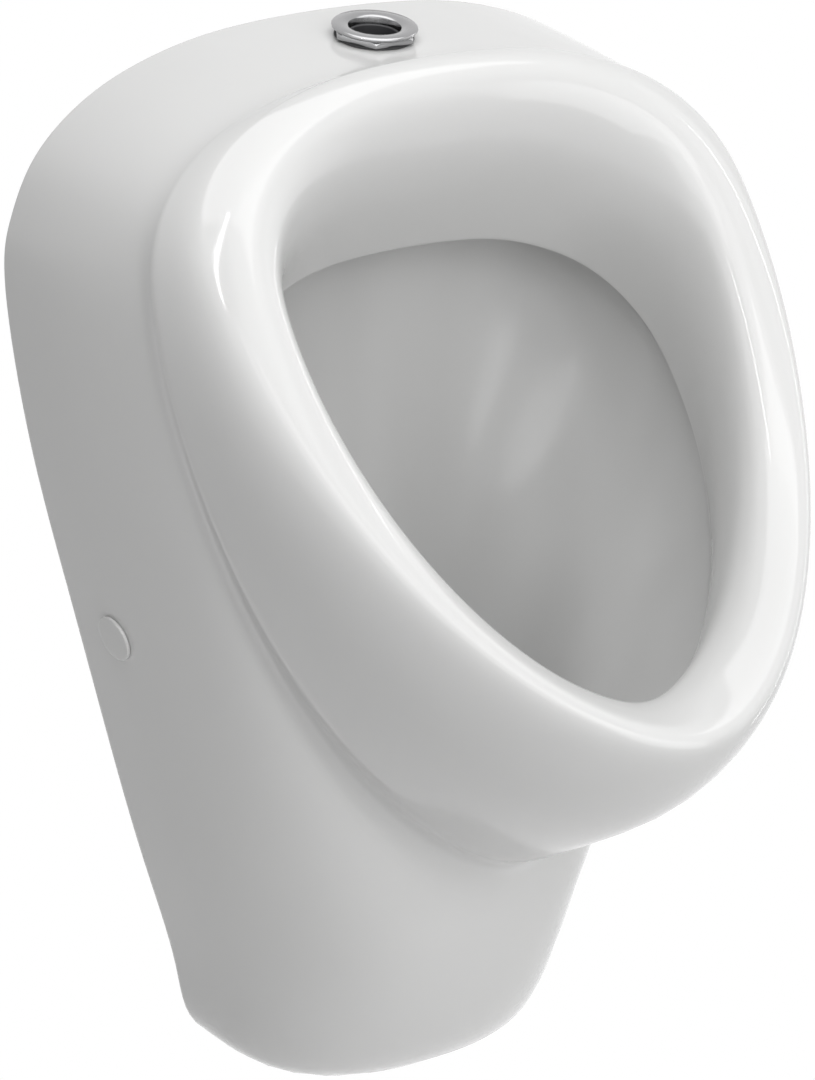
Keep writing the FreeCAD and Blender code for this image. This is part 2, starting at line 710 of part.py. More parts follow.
def trap_head():
    """Upper half of the bottle trap with its outlet branch."""
    shell = disc(TRAP_R, SPLIT_Z, HEAD_TOP, 0, DRAIN_Y)
    neck = disc(NECK_R, HEAD_TOP - 1, NECK_TOP, 0, DRAIN_Y)
    end = OUTLET_DEPTH + SPIGOT
    branch = level_rod(BRANCH_R, end, -DRAIN_Y, OUTLET_Z)
    room = disc(TRAP_R - PIPE_WALL, SPLIT_Z - 1, HEAD_TOP - TRAP_TOP_T, 0, DRAIN_Y)
    bore = level_rod(BRANCH_R - PIPE_WALL, end - 1, -DRAIN_Y, OUTLET_Z)
    way = disc(PIPE_R + GAP, HEAD_TOP - 10, NECK_TOP + 1, 0, DRAIN_Y)
    return shell.fuse(neck).fuse(branch).cut(room).cut(bore).cut(way)


def trap_union_nut():
    """Nut with grips round the neck of the trap."""
    low = HEAD_TOP + GAP
    high = HEAD_TOP + NUT_T
    outer = NECK_R + 4
    ring = tube(outer, NECK_R + GAP, low, high, 0, DRAIN_Y)
    for n in range(10):
        angle = 2 * math.pi * n / 10
        x = outer * math.cos(angle)
        y = DRAIN_Y + outer * math.sin(angle)
        ring = ring.fuse(disc(1.5, low, high, x, y))
    return ring


def dip_tube():
    """Tube inside the waste that reaches into the water of the trap."""
    outer = PIPE_R - WASTE_WALL - GAP
    return tube(outer, outer - DIP_WALL, OUTLET_Z - DIP_DROP, FLANGE_LOW - 3.3, 0, DRAIN_Y)


def trap_cup():
    """Lower half of the trap, screwed up over the upper half."""
    wide = TRAP_R + PIPE_WALL + GAP
    narrow = TRAP_R - PIPE_WALL
    step = SPLIT_Z - CUP_SKIRT
    outline = [
        (0, TRAP_LOW),
        (wide - CUP_SOFT, TRAP_LOW),
        (wide, TRAP_LOW + CUP_SOFT),
        (wide, OUTLET_Z - BRANCH_R - 0.5),
        (TRAP_R + GAP, OUTLET_Z - BRANCH_R - 0.5),
        (TRAP_R + GAP, step),
        (narrow, step),
        (narrow, TRAP_LOW + CUP_SOFT),
        (narrow - CUP_SOFT + 2, TRAP_LOW + PIPE_WALL),
        (0, TRAP_LOW + PIPE_WALL),
    ]
    cup = turned(outline)
    cup.translate(V(0, DRAIN_Y, 0))
    return cup


def trap_seal():
    """Rubber ring between the halves of the trap."""
    return tube(TRAP_R, TRAP_R - PIPE_WALL, SPLIT_Z - CUP_SKIRT + GAP, SPLIT_Z - GAP, 0, DRAIN_Y)


def outlet_socket():
    """Pipe socket that opens flush with the wall."""
    end = OUTLET_DEPTH + 2 * SPIGOT + 4
    small = level_rod(BRANCH_R + GAP + PIPE_WALL, OUTLET_DEPTH, end, OUTLET_Z)
    large = level_rod(OUTLET_R + PIPE_WALL, 0, OUTLET_DEPTH + SOCKET_T, OUTLET_Z)
    collar = level_rod(OUTLET_R + PIPE_WALL + GROOVE, 0, COLLAR_L, OUTLET_Z)
    solid = small.fuse(large).fuse(collar)
    solid = solid.cut(level_rod(BRANCH_R + GAP, OUTLET_DEPTH - 1, end + 1, OUTLET_Z))
    solid = solid.cut(level_rod(OUTLET_R, -1, OUTLET_DEPTH, OUTLET_Z))
    return solid.cut(level_rod(OUTLET_R + GROOVE, GROOVE_FROM, GROOVE_TO, OUTLET_Z))


def outlet_seal():
    """Rubber ring in the groove of the socket."""
    near = GROOVE_FROM + GAP
    far = GROOVE_TO - GAP
    ring = level_rod(OUTLET_R + GROOVE - GAP, near, far, OUTLET_Z)
    return ring.cut(level_rod(OUTLET_R + 0.2, near - 1, far + 1, OUTLET_Z))


# --- wall fixings ---------------------------------------------------------------------------
def wall_hole(x, z):
    """Hole for a wall screw."""
    return Part.makeCylinder(FIX_HOLE_R, 5 + 4 * STEEL, V(x, 5, z), V(0, -1, 0))


def hanger_bracket():
    """Steel hook on the wall that carries the ceramic shoulder (right side)."""
    left = FIX_X - HANGER_HALF
    right = FIX_X + HANGER_HALF
    hook = FIX_HIGH + HOOK_RISE
    plate = box(left, right, -STEEL, 0, FIX_HIGH - HOOK_RISE, hook + 12)
    arm = box(left, right, -HOOK_REACH, 0, hook - STEEL, hook)
    lip = box(left, right, -HOOK_REACH, STEEL - HOOK_REACH, hook - STEEL, hook + HOOK_LIP)
    return plate.fuse(arm).fuse(lip).removeSplitter().cut(wall_hole(FIX_X, FIX_HIGH))


def hanger_pad():
    """Rubber pad between the hook and the ceramic shoulder (right side)."""
    half = HANGER_HALF - 3
    low = FIX_HIGH + HOOK_RISE
    return box(FIX_X - half, FIX_X + half, STEEL + 1 - HOOK_REACH, -STEEL - 1, low + GAP, low + PAD_T - GAP)


def side_bracket(hole_at, hole_axis):
    """Steel angle on the wall that takes the side screw (left side)."""
    outer = hole_at.x + WALL + 7.4
    low = FIX_LOW - ANGLE_LOW
    high = FIX_LOW + ANGLE_HIGH
    flat = box(outer, 18 - FIX_X, -STEEL, 0, low, high)
    upright = box(outer, outer + STEEL, -ANGLE_REACH, 0, low, high)
    angle = flat.fuse(upright).removeSplitter().cut(wall_hole(-FIX_X, FIX_LOW))
    return angle.cut(along(disc(PLUG_R + GAP, -WALL - 31, 0), hole_at, hole_axis))


def side_insert(hole_at, hole_axis):
    """Plastic plug in the angle that the side screw bites into."""
    top = SLEEVE_LOW - 1
    return along(tube(PLUG_R, SIDE_SCREW_R + 0.05, top - SIDE_PLUG_L, top), hole_at, hole_axis)


def side_screw(hole_at, hole_axis):
    """Screw through the sleeve into the plug, with a hexagon socket."""
    head = disc(SIDE_HEAD_R, HEAD_LOW, HEAD_LOW + SIDE_HEAD_T)
    screw = head.fuse(disc(SIDE_SCREW_R, SLEEVE_LOW - 1 - SIDE_SCREW_L, HEAD_LOW + 1))
    return along(screw.cut(hexagon(SOCKET_AF, HEAD_LOW + 1, HEAD_LOW + SIDE_HEAD_T + 1)), hole_at, hole_axis)


def side_sleeve(hole_at, hole_axis):
    """Plastic sleeve that keeps the screw off the ceramic."""
    sleeve = disc(SIDE_HOLE_R - GAP, SLEEVE_LOW, -0.8)
    sleeve = sleeve.cut(disc(SIDE_HEAD_R + 0.2, HEAD_LOW - GAP, 0))
    sleeve = sleeve.cut(disc(SIDE_SCREW_R + 0.15, SLEEVE_LOW - 1, 0))
    return along(sleeve, hole_at, hole_axis)


def side_cap(hole_at, hole_axis):
    """White snap-in cap over the side screw."""
    cap = disc(CAP_R, FREE, FREE + CAP_T)
    cap = cap.makeFillet(CAP_T / 2, edges_at(cap, FREE + CAP_T, CAP_R))
    outer = SIDE_HEAD_R + 0.2 - 0.4
    stem = tube(outer, outer - CAP_STEM_WALL, FREE - CAP_STEM_L, FREE + 0.5)
    return along(cap.fuse(stem), hole_at, hole_axis)


# --- write the nodes ------------------------------------------------------------------------
def all_nodes(place):
    """Every piece under its node name."""
    return {
        "ceramic_body": ceramic(*place),
        "inlet_ring": inlet_ring(),
        "inlet_hex_nut": inlet_nut(INLET_NUT_WALL, NUT_LOW, NUT_LOW + INLET_NUT_T),
        "inlet_gasket": inlet_gasket(),
        "inlet_insert": inlet_insert(),
        "inlet_under_washer": inlet_washer(),
        "inlet_locknut": inlet_locknut(),
        "inlet_reducer": inlet_reducer(),
        "flush_hose": flush_hose(),
        "spray_nozzle": spray_nozzle(),
        "nozzle_washer": nozzle_washer(),
        "strainer_plate": strainer_plate(),
        "strainer_screw": strainer_screw(),
        "waste_body": waste_body(),
        "waste_gasket": waste_gasket(),
        "trap_head": trap_head(),
        "trap_union_nut": trap_union_nut(),
        "dip_tube": dip_tube(),
        "trap_cup": trap_cup(),
        "trap_seal": trap_seal(),
        "outlet_socket": outlet_socket(),
        "outlet_seal": outlet_seal(),
        "hanger_bracket_right": hanger_bracket(),
        "hanger_bracket_left": mirrored(hanger_bracket()),
        "hanger_pads": pair(hanger_pad()),
        "side_bracket_left": side_bracket(*place),
        "side_bracket_right": mirrored(side_bracket(*place)),
        "side_inserts": pair(side_insert(*place)),
        "side_screws": pair(side_screw(*place)),
        "side_sleeves": pair(side_sleeve(*place)),
        "side_cap_left": side_cap(*place),
        "side_cap_right": mirrored(side_cap(*place)),
    }


def main():
    place = cap_place(skin(outer_rings()))
    os.makedirs("parts", exist_ok=True)
    for name, shape in all_nodes(place).items():
        moved = shape.copy()
        moved.translate(V(0, 0, -FIX_MID))
        moved.exportStep("parts/" + name + ".step")
        print(name, moved.isValid(), len(moved.Solids), round(moved.Volume / 1000, 2), "cm3")
    print("side hole", place[0], place[1])
    print("inlet", inlet_point(), "outlet height", OUTLET_Z, "frame height", FIX_MID)


main()
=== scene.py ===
# %% [markdown]
# # A wall hung urinal
#
# The CAD model is the frame: it holds every piece at its real size and place. This script gives
# the pieces their finish, and swaps the ones that show for smoother or more detailed meshes.
# Lengths are in metres, +Z is up, the wall is the plane Y = 0 and X = 0 is the plane of symmetry.

# %% Load the frame
import json
import math

import bmesh
import bpy
import numpy as np
from mathutils import Matrix, Vector


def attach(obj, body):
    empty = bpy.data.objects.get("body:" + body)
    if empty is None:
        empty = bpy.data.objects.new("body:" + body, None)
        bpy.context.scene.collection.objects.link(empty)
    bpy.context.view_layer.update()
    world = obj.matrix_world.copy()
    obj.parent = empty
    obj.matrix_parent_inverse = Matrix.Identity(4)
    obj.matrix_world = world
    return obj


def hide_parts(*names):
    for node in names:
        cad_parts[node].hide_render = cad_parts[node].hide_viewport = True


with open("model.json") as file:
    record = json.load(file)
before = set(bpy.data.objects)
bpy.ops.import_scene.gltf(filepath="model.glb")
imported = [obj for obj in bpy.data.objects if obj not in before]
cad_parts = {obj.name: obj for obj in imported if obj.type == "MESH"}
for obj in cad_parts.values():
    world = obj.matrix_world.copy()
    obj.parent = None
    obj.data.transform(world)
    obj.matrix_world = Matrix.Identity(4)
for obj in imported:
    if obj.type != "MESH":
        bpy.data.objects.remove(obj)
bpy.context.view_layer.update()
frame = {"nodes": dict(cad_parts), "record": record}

# %% [markdown]
# ## Camera
#
# The photograph was taken from the left, from a little above and with a long lens. A long lens
# keeps upright lines nearly parallel, so distance and focal length belong together: both follow
# from the size of the object in the picture. The camera could be turned with a Track To
# constraint, but then its roll and aim depend on an extra object. Here its three axes are worked
# out from two angles and written as a matrix. The image is 815 x 1080, so the lens is worked out
# for its height, and the sensor is fitted to the height too.

# %% Camera
CAMERA_AT = Vector((-1.0185, -1.6415, 0.6246))
CAMERA_TURN = math.radians(33)
CAMERA_DROP = math.radians(20)
FOCAL_PIXELS = 3972.8
IMAGE_HEIGHT = 1080
SENSOR = 36.0
FAR = 50

lens = bpy.data.cameras.new("camera")
lens.sensor_fit = "VERTICAL"
lens.sensor_height = SENSOR
lens.lens = FOCAL_PIXELS / IMAGE_HEIGHT * SENSOR
lens.clip_end = FAR
camera = bpy.data.objects.new("camera", lens)
bpy.context.scene.collection.objects.link(camera)
flat = math.cos(CAMERA_DROP)
backward = Vector((-math.sin(CAMERA_TURN) * flat, -math.cos(CAMERA_TURN) * flat,
                   math.sin(CAMERA_DROP)))
sideways = Vector((math.cos(CAMERA_TURN), -math.sin(CAMERA_TURN), 0))
turn = Matrix((sideways, backward.cross(sideways), backward)).transposed().to_4x4()
camera.matrix_world = Matrix.Translation(CAMERA_AT) @ turn
bpy.context.scene.camera = camera
bpy.context.scene.view_settings.view_transform = "Standard"
print("lens", round(lens.lens, 1), "mm at", round(CAMERA_AT.length, 2), "m")

# %% [markdown]
# ## Light
#
# White ceramic shows its form only through the light, and an even light makes it flat. One lamp
# would do for the shadows, but its mirror image in the glaze would be the only highlight. So each
# lamp has one task. A large soft box straight above lights the shelf and leaves the bowl shaded
# under the hood. Boxes high and low in front light the face of the rim, and weaker ones at the
# left and right keep the sides grey. They are large, because a small box would show its corners
# in the glaze. Two long strips, 4 cm wide, give the thin highlights along the bends.

# %% Soft box
def soft_box(name, at, aim, size, power):
    """Area light at a point, turned to another point."""
    data = bpy.data.lights.new(name, "AREA")
    data.shape = "RECTANGLE"
    data.size = size[0]
    data.size_y = size[1]
    data.energy = power
    lamp = bpy.data.objects.new(name, data)
    bpy.context.scene.collection.objects.link(lamp)
    lamp.location = at
    lamp.rotation_euler = (Vector(aim) - Vector(at)).to_track_quat("-Z", "Y").to_euler()
    return lamp


print("a soft box needs a name, a place, an aim, a size and a power")

# %% Lamps
LAMPS = [
    # name, place, aim, size, power in watts
    ("top_box", (0.1, -0.25, 1.9), (0, -0.15, 0), (2.0, 2.0), 23),
    ("high_front_box", (-0.2, -1.7, 1.7), (0, -0.15, 0), (2.2, 2.0), 10.5),
    ("front_box", (0.5, -2.3, 0.4), (0, -0.1, 0), (1.6, 2.0), 18.5),
    ("left_front_box", (-1.1, -2.0, 0.9), (0, -0.2, 0), (1.8, 1.8), 13.5),
    ("left_box", (-1.9, -0.6, 0.6), (0, -0.1, 0), (1.6, 1.8), 4.2),
    ("right_box", (2.0, -0.6, 0.3), (0, -0.15, 0), (2.2, 2.4), 7.5),
    ("left_strip", (-1.1, -0.65, 1.5), (0, -0.2, 0.1), (0.04, 0.9), 3),
    ("right_strip", (1.8, -0.2, 0.0), (0, -0.2, 0), (0.04, 2.2), 2.6),
]
for lamp in LAMPS:
    soft_box(*lamp)
print("lamps", [lamp[0] for lamp in LAMPS])

# %% [markdown]
# The world lights the object with a plain dark grey, which fills the deepest shadows a little.
# The camera should see white behind it, and so should anything that mirrors or lets through the
# background. A white world would also do that, but it would light the object from all sides and
# make it flat. So only for camera, glossy and transmission rays the world is white instead.

# %% Rays that see the background
def seen_directly(tree):
    """1 for camera, glossy and transmission rays, 0 for the rays that carry light."""
    path = tree.nodes.new("ShaderNodeLightPath")
    seen = path.outputs["Is Camera Ray"]
    for label in ("Is Glossy Ray", "Is Transmission Ray"):
        either = tree.nodes.new("ShaderNodeMath")
        either.operation = "MAXIMUM"
        tree.links.new(seen, either.inputs[0])
        tree.links.new(path.outputs[label], either.inputs[1])
        seen = either.outputs[0]
    return seen


print("three kinds of ray see the background")

# %% Background
WORLD_GREY = 0.04

world = bpy.data.worlds.new("studio")
bpy.context.scene.world = world
world.use_nodes = True
room_tree = world.node_tree
room_tree.nodes.clear()
room = room_tree.nodes.new("ShaderNodeBackground")
room.inputs["Color"].default_value = (WORLD_GREY, WORLD_GREY, WORLD_GREY, 1)
white = room_tree.nodes.new("ShaderNodeBackground")
white.inputs["Color"].default_value = (1, 1, 1, 1)
mix = room_tree.nodes.new("ShaderNodeMixShader")
out = room_tree.nodes.new("ShaderNodeOutputWorld")
room_tree.links.new(seen_directly(room_tree), mix.inputs[0])
room_tree.links.new(room.outputs[0], mix.inputs[1])
room_tree.links.new(white.outputs[0], mix.inputs[2])
room_tree.links.new(mix.outputs[0], out.inputs[0])
print("world grey", WORLD_GREY)

# %% [markdown]
# ## Materials
#
# Nodes could be placed and linked one by one, but a sum of two values then takes five lines. Here
# shader maths is written as Python. A `Wire` is one value inside a material, and arithmetic on
# wires adds Math nodes. A `Finish` is a material with one Principled shader: what is the same all
# over is set on the shader itself, and only what varies over the surface is wired to it.

# %% Wires
class Wire:
    """One output socket; arithmetic on it adds Math nodes."""

    def __init__(self, finish, socket):
        self.finish = finish
        self.socket = socket

    def math(self, operation, first, second):
        return self.finish.node("ShaderNodeMath", {"operation": operation}, {0: first, 1: second})

    def __add__(self, other):
        return self.math("ADD", self, other)

    def __mul__(self, other):
        return self.math("MULTIPLY", self, other)

    __radd__ = __add__
    __rmul__ = __mul__


print("wires can be added and multiplied")

# %% Finishes
class Finish:
    """A material with one Principled shader."""

    def __init__(self, name, **constants):
        self.material = bpy.data.materials.new(name)
        self.material.use_nodes = True
        self.tree = self.material.node_tree
        self.shader = self.tree.nodes["Principled BSDF"]
        for label, value in constants.items():
            socket = self.shader.inputs[label.replace("_", " ")]
            socket.default_value = (*value, 1) if isinstance(value, tuple) else value

    def node(self, kind, settings=None, inputs=None, output=0):
        """Add a node: settings first, then the values or links of its sockets."""
        made = self.tree.nodes.new(kind)
        for label, value in (settings or {}).items():
            if label == "stops":
                ramp = made.color_ramp.elements
                for i, (place, colour) in enumerate(value):
                    stop = ramp[i] if i < 2 else ramp.new(place)
                    stop.position = place
                    stop.color = (*colour, 1)
            else:
                setattr(made, label, value)
        for label, value in (inputs or {}).items():
            if isinstance(value, Wire):
                self.tree.links.new(value.socket, made.inputs[label])
            else:
                made.inputs[label].default_value = value
        return Wire(self, made.outputs[output])

    def feed(self, label, wire):
        """Wire a value that varies over the surface into the shader."""
        self.tree.links.new(wire.socket, self.shader.inputs[label])

    def place(self, stretch=None):
        """Object coordinates, stretched along the axes if wanted."""
        coords = self.node("ShaderNodeTexCoord", output="Object")
        if stretch is None:
            return coords
        return self.node("ShaderNodeMapping", None, {"Vector": coords, "Scale": stretch}, "Vector")

    def noise(self, size, detail=2.0, stretch=None):
        """Noise from 0 to 1 with features of about that size in metres."""
        inputs = {"Vector": self.place(stretch), "Scale": 1 / size, "Detail": detail}
        return self.node("ShaderNodeTexNoise", None, inputs, "Fac")

    def bump(self, height, distance, strength=1.0):
        """Height in 0 to 1 over a distance in metres, into the shader's normal."""
        inputs = {"Height": height, "Distance": distance, "Strength": strength}
        self.feed("Normal", self.node("ShaderNodeBump", None, inputs, "Normal"))

    def tint(self, factor, low, high):
        """Colour between two, into the base colour."""
        stops = {"stops": [(0.25, low), (0.75, high)]}
        self.feed("Base Color", self.node("ShaderNodeValToRGB", stops, {"Fac": factor}, "Color"))


FINISH = {}
print("finishes so far", len(FINISH))


# %% Lighter and darker colours
def toned(colour, amount):
    """A colour made lighter or darker."""
    return tuple(min(1.0, c * amount) for c in colour)


print("mid grey, a tenth darker", toned((0.5, 0.5, 0.5), 0.9))


# %% [markdown]
# Glazed ceramic is white clay under a thin layer of glass. The clay scatters the light, and the
# glass adds sharp reflections that grow towards grazing angles. It could be two layers, a matt
# base and a clear coat, but a Principled shader with the index of refraction of glass is already
# that. The glaze is never quite level: it pools a little, which a very shallow bump gives, and
# its white varies by a hair.

# %% Glaze
GLASS = 1.5
POOLING_SIZE, POOLING_DEPTH = 0.014, 0.00003


def glaze(name, colour, gloss=0.1):
    finish = Finish(name, Roughness=gloss, IOR=GLASS)
    finish.tint(finish.noise(0.09), toned(colour, 0.98), colour)
    finish.bump(finish.noise(POOLING_SIZE, 1.0), POOLING_DEPTH)
    return finish.material


FINISH["ceramic"] = glaze("white_glaze", (0.76, 0.76, 0.755))
print("finishes", list(FINISH))

# %% [markdown]
# The bowl's glaze is a darker grey than the outside, which is painted shade for the bowl under the
# hood. Its gloss is a little duller, and its tone goes lighter and darker in broad faint upright
# streaks. Streaks drawn in an image would need a picture. Noise that is stretched along Z gives
# them from any side and at any size.

# %% Bowl glaze with painted shade
# stretch for faint upright streaks of lighter and darker tone in the bowl
STRETCHED_UPRIGHT = (1, 1, 0.25)


def bowl_glaze_with_painted_shade(name, colour):
    finish = Finish(name, IOR=GLASS)
    runs = finish.noise(0.05, 1.0, STRETCHED_UPRIGHT)
    finish.feed("Roughness", finish.noise(0.03) * 0.1 + 0.12)
    finish.tint(runs, toned(colour, 0.94), toned(colour, 1.06))
    finish.bump(finish.noise(POOLING_SIZE, 1.0), POOLING_DEPTH)
    return finish.material


# painted shade: the bowl's grey is darker than the white outside, for the shade under the hood
FINISH["bowl"] = bowl_glaze_with_painted_shade("bowl_glaze", (0.58, 0.58, 0.577))
print("finishes", list(FINISH))

# %% [markdown]
# Chrome is a metal, so all its colour is reflection and its base colour is how much comes back.
# A mirror would be simpler, but the inlet ring is satin: its roughness wanders a little, which
# breaks up the reflection as fine polishing marks do.

# %% Satin chrome
def satin_chrome(name, colour):
    finish = Finish(name, Metallic=1.0)
    finish.feed("Roughness", finish.noise(0.004) * 0.08 + 0.14)
    finish.tint(finish.noise(0.02), toned(colour, 0.94), colour)
    return finish.material


FINISH["chrome"] = satin_chrome("satin_chrome", (0.36, 0.36, 0.365))
print("finishes", list(FINISH))

# %% [markdown]
# The strainer is brushed steel: fine hairlines that all run one way. Anisotropy can show their
# sheen, but not the lines themselves, so noise that is stretched along X gives them, in
# roughness, colour and height. The brackets and screws are zinc plated, which has soft cloudy
# patches, so the same noise is used there without the stretch.

# %% Brushed steel and zinc plate
ALONG_THE_BRUSH = (0.04, 1, 1)


def brushed_steel(name, colour):
    finish = Finish(name, Metallic=1.0)
    hairlines = finish.noise(0.002, 3.0, ALONG_THE_BRUSH)
    finish.feed("Roughness", hairlines * 0.25 + 0.2)
    finish.tint(hairlines, toned(colour, 0.88), colour)
    finish.bump(hairlines, 0.00003)
    return finish.material


def zinc_plate(name, colour):
    finish = Finish(name, Metallic=1.0)
    clouds = finish.noise(0.012, 4.0)
    finish.feed("Roughness", clouds * 0.3 + 0.25)
    finish.tint(clouds, toned(colour, 0.8), toned(colour, 1.08))
    return finish.material


FINISH["steel"] = brushed_steel("stainless", (0.62, 0.62, 0.62))
FINISH["zinc_steel"] = zinc_plate("zinc_plate", (0.55, 0.56, 0.57))
print("finishes", list(FINISH))

# %% [markdown]
# The locknut of the inlet is turned from brass, and the tool leaves fine rings across its axis. A
# Wave texture gives rings too, but all alike. Noise that is stretched along X and Y gives rings
# that differ from one to the next.

# %% Turned brass
AROUND_THE_AXIS = (0.03, 0.03, 1)


def turned_brass(name, colour):
    finish = Finish(name, Metallic=1.0)
    rings = finish.noise(0.0008, 1.0, AROUND_THE_AXIS)
    finish.feed("Roughness", rings * 0.2 + 0.22)
    finish.tint(finish.noise(0.01), toned(colour, 0.85), colour)
    finish.bump(rings, 0.00005)
    return finish.material


FINISH["brass"] = turned_brass("turned_brass", (0.72, 0.55, 0.25))
print("finishes", list(FINISH))

# %% [markdown]
# Moulded plastic keeps the fine grain of its mould, so its gloss and height vary at a scale of
# about a millimetre. The side caps come from a polished mould and have almost none of it. A flat
# colour would look like paint on both.

# %% Plastics
PLASTIC = 1.49


def moulded_plastic(name, colour):
    finish = Finish(name, IOR=PLASTIC)
    grain = finish.noise(0.0009, 2.0)
    finish.feed("Roughness", grain * 0.15 + 0.35)
    finish.tint(finish.noise(0.03), toned(colour, 0.95), colour)
    finish.bump(grain, 0.00004)
    return finish.material


def gloss_plastic(name, colour):
    finish = Finish(name, IOR=PLASTIC)
    finish.feed("Roughness", finish.noise(0.006) * 0.08 + 0.18)
    finish.tint(finish.noise(0.02), toned(colour, 0.98), colour)
    return finish.material


FINISH["dark_plastic"] = moulded_plastic("dark_plastic", (0.045, 0.045, 0.048))
FINISH["grey_plastic"] = moulded_plastic("grey_plastic", (0.35, 0.36, 0.37))
FINISH["white_plastic"] = moulded_plastic("white_plastic", (0.78, 0.78, 0.76))
FINISH["white_cap"] = gloss_plastic("white_cap", (0.74, 0.74, 0.735))
print("finishes", list(FINISH))

# %% [markdown]
# Rubber is nearly black and dull, and a dusty bloom lifts its colour in patches. Without the
# bloom a black piece shows no form at all.

# %% Rubber
def rubber(name, colour):
    finish = Finish(name, IOR=1.45)
    bloom = finish.noise(0.005, 4.0)
    finish.feed("Roughness", bloom * 0.2 + 0.6)
    finish.tint(bloom, toned(colour, 0.8), toned(colour, 1.6))
    finish.bump(finish.noise(0.0007), 0.00005)
    return finish.material


FINISH["rubber"] = rubber("black_rubber", (0.035, 0.035, 0.036))
print("finishes", list(FINISH))

# %% [markdown]
# The record names a material slot for every CAD node. Each node could be given its finish by
# name, but the record already says which is which, so each node gets the finish of its slot. The
# hidden plumbing is then finished as well as what shows.

# %% Finish of each CAD node
SLOT_OF = {part["node"]: part["material_slot"] for part in frame["record"]["subparts"]}
for node, piece in frame["nodes"].items():
    piece.data.materials.clear()
    piece.data.materials.append(FINISH[SLOT_OF[node]])
print("finishes", len(FINISH), "nodes", len(SLOT_OF))

# %% [markdown]
# ## Modelling helpers
#
# Pieces are made as by hand: a primitive is added, shaped in edit mode and finished with
# modifiers. Meshes could also be written point by point, but then every bevel and Boolean has to
# be worked out. Everything is deselected first, because an operator acts on all that is selected.

# %% Selection
MM = 0.001


def clear_selection():
    """Leave edit mode and deselect everything."""
    if bpy.context.object and bpy.context.object.mode != "OBJECT":
        bpy.ops.object.mode_set(mode="OBJECT")
    bpy.ops.object.select_all(action="DESELECT")


def pick(piece):
    """Make one piece the only one selected."""
    clear_selection()
    bpy.context.view_layer.objects.active = piece
    piece.select_set(True)


clear_selection()
print("selected", len(bpy.context.selected_objects))


# %% Modifiers
SHARP_ANGLE = 35


def apply_modifier(piece, kind, **settings):
    """Add a modifier, set it and apply it."""
    pick(piece)
    modifier = piece.modifiers.new(kind.lower(), kind)
    for label, value in settings.items():
        setattr(modifier, label, value)
    bpy.ops.object.modifier_apply(modifier=modifier.name)


def soften(piece, width, segments=3):
    """Round the sharp edges, by a width in millimetres."""
    apply_modifier(piece, "BEVEL", width=width * MM, segments=segments, limit_method="ANGLE",
                   angle_limit=math.radians(SHARP_ANGLE))


def smooth(piece, angle=SHARP_ANGLE):
    """Smooth shading that stops at sharp edges."""
    pick(piece)
    bpy.ops.object.shade_smooth_by_angle(angle=math.radians(angle))


def cut(piece, tool, operation="DIFFERENCE"):
    """Boolean of two pieces; the tool is used up."""
    apply_modifier(piece, "BOOLEAN", operation=operation, object=tool, solver="EXACT")
    bpy.data.objects.remove(tool)


print("edges sharper than", SHARP_ANGLE, "degrees are bevelled")


# %% Closed ends
def close_ends(piece):
    """Fill every open loop of a mesh and turn its faces outwards."""
    bpy.ops.mesh.select_all(action="DESELECT")
    mesh = bmesh.from_edit_mesh(piece.data)
    open_edges = [e for e in mesh.edges if e.is_boundary]
    while open_edges:
        loop = [open_edges[0]]
        for edge in loop:
            near = [e for v in edge.verts for e in v.link_edges if e.is_boundary and e not in loop]
            loop.extend(near)
        bpy.ops.mesh.select_all(action="DESELECT")
        for edge in loop:
            edge.select = True
        bmesh.update_edit_mesh(piece.data)
        bpy.ops.mesh.edge_face_add()
        mesh = bmesh.from_edit_mesh(piece.data)
        open_edges = [e for e in mesh.edges if e.is_boundary]
    bpy.ops.mesh.select_all(action="SELECT")
    bpy.ops.mesh.normals_make_consistent(inside=False)
    bpy.ops.object.mode_set(mode="OBJECT")


print("an end is closed with one face")

# %% [markdown]
# ## The ceramic
#
# Sanitary ceramic is cast as one piece. It could be a box that is pulled into shape under a
# Subdivision Surface, but then each outline only comes near its measure. Its form is easier to
# see as rings: one on the wall, one along the crease where the rim meets the body, one along the
# crest of the rim, one along the sharp edge inside, and the rings of the bowl down to the waste.
# Each ring is an egg: two half ovals of different roundness that meet where it is widest. All
# rings have the same number of points, so point n of one ring belongs to point n of the next.

# %% Sizes of the ceramic, in millimetres
HEIGHT = 553.0
WIDTH = 366.0
DEPTH = 327.0
WALL = 9.0
BACK_EDGE = 12.0
FRAME_HEIGHT = 352.0
POINTS = 28

SHELF_DEPTH, SHELF_DROP = 82.0, 12.0
CREASE_WIDTH, CREASE_DEPTH, CREASE_LOW = 330.0, 158.0, 156.0
RIM_TOP_DEPTH, RIM_TOP_DROP = 100.0, 4.0
RIM_LOW = 275.0
RIM_WIDTH = 300.0
RIM_FACE = 25.0
LIP_DEPTH, LIP_FRONT = 18.0, 42.0
OPENING_WIDTH = 260.0
HOOD_DEPTH, HOOD_DROP = 71.0, 106.5
OPENING_FRONT, OPENING_DROP = 103.0, 64.0
BOWL_BACK = 31.0
DRAIN_R, DRAIN_Y, DRAIN_Z = 23.0, -76.0, 123.0
print("ceramic", WIDTH, "x", DEPTH, "x", HEIGHT, "mm")


# %% Shapes of a ring
def power(value, exponent):
    """A power that keeps the sign of its base."""
    return math.copysign(abs(value) ** exponent, value)


def downness(j):
    """0 at the top point of a ring, 1 at its bottom point."""
    return (1 - math.cos(2 * math.pi * j / POINTS)) / 2


def mixed(a, b, share):
    """Part of the way from a to b."""
    return np.array(a) * (1 - share) + np.array(b) * share


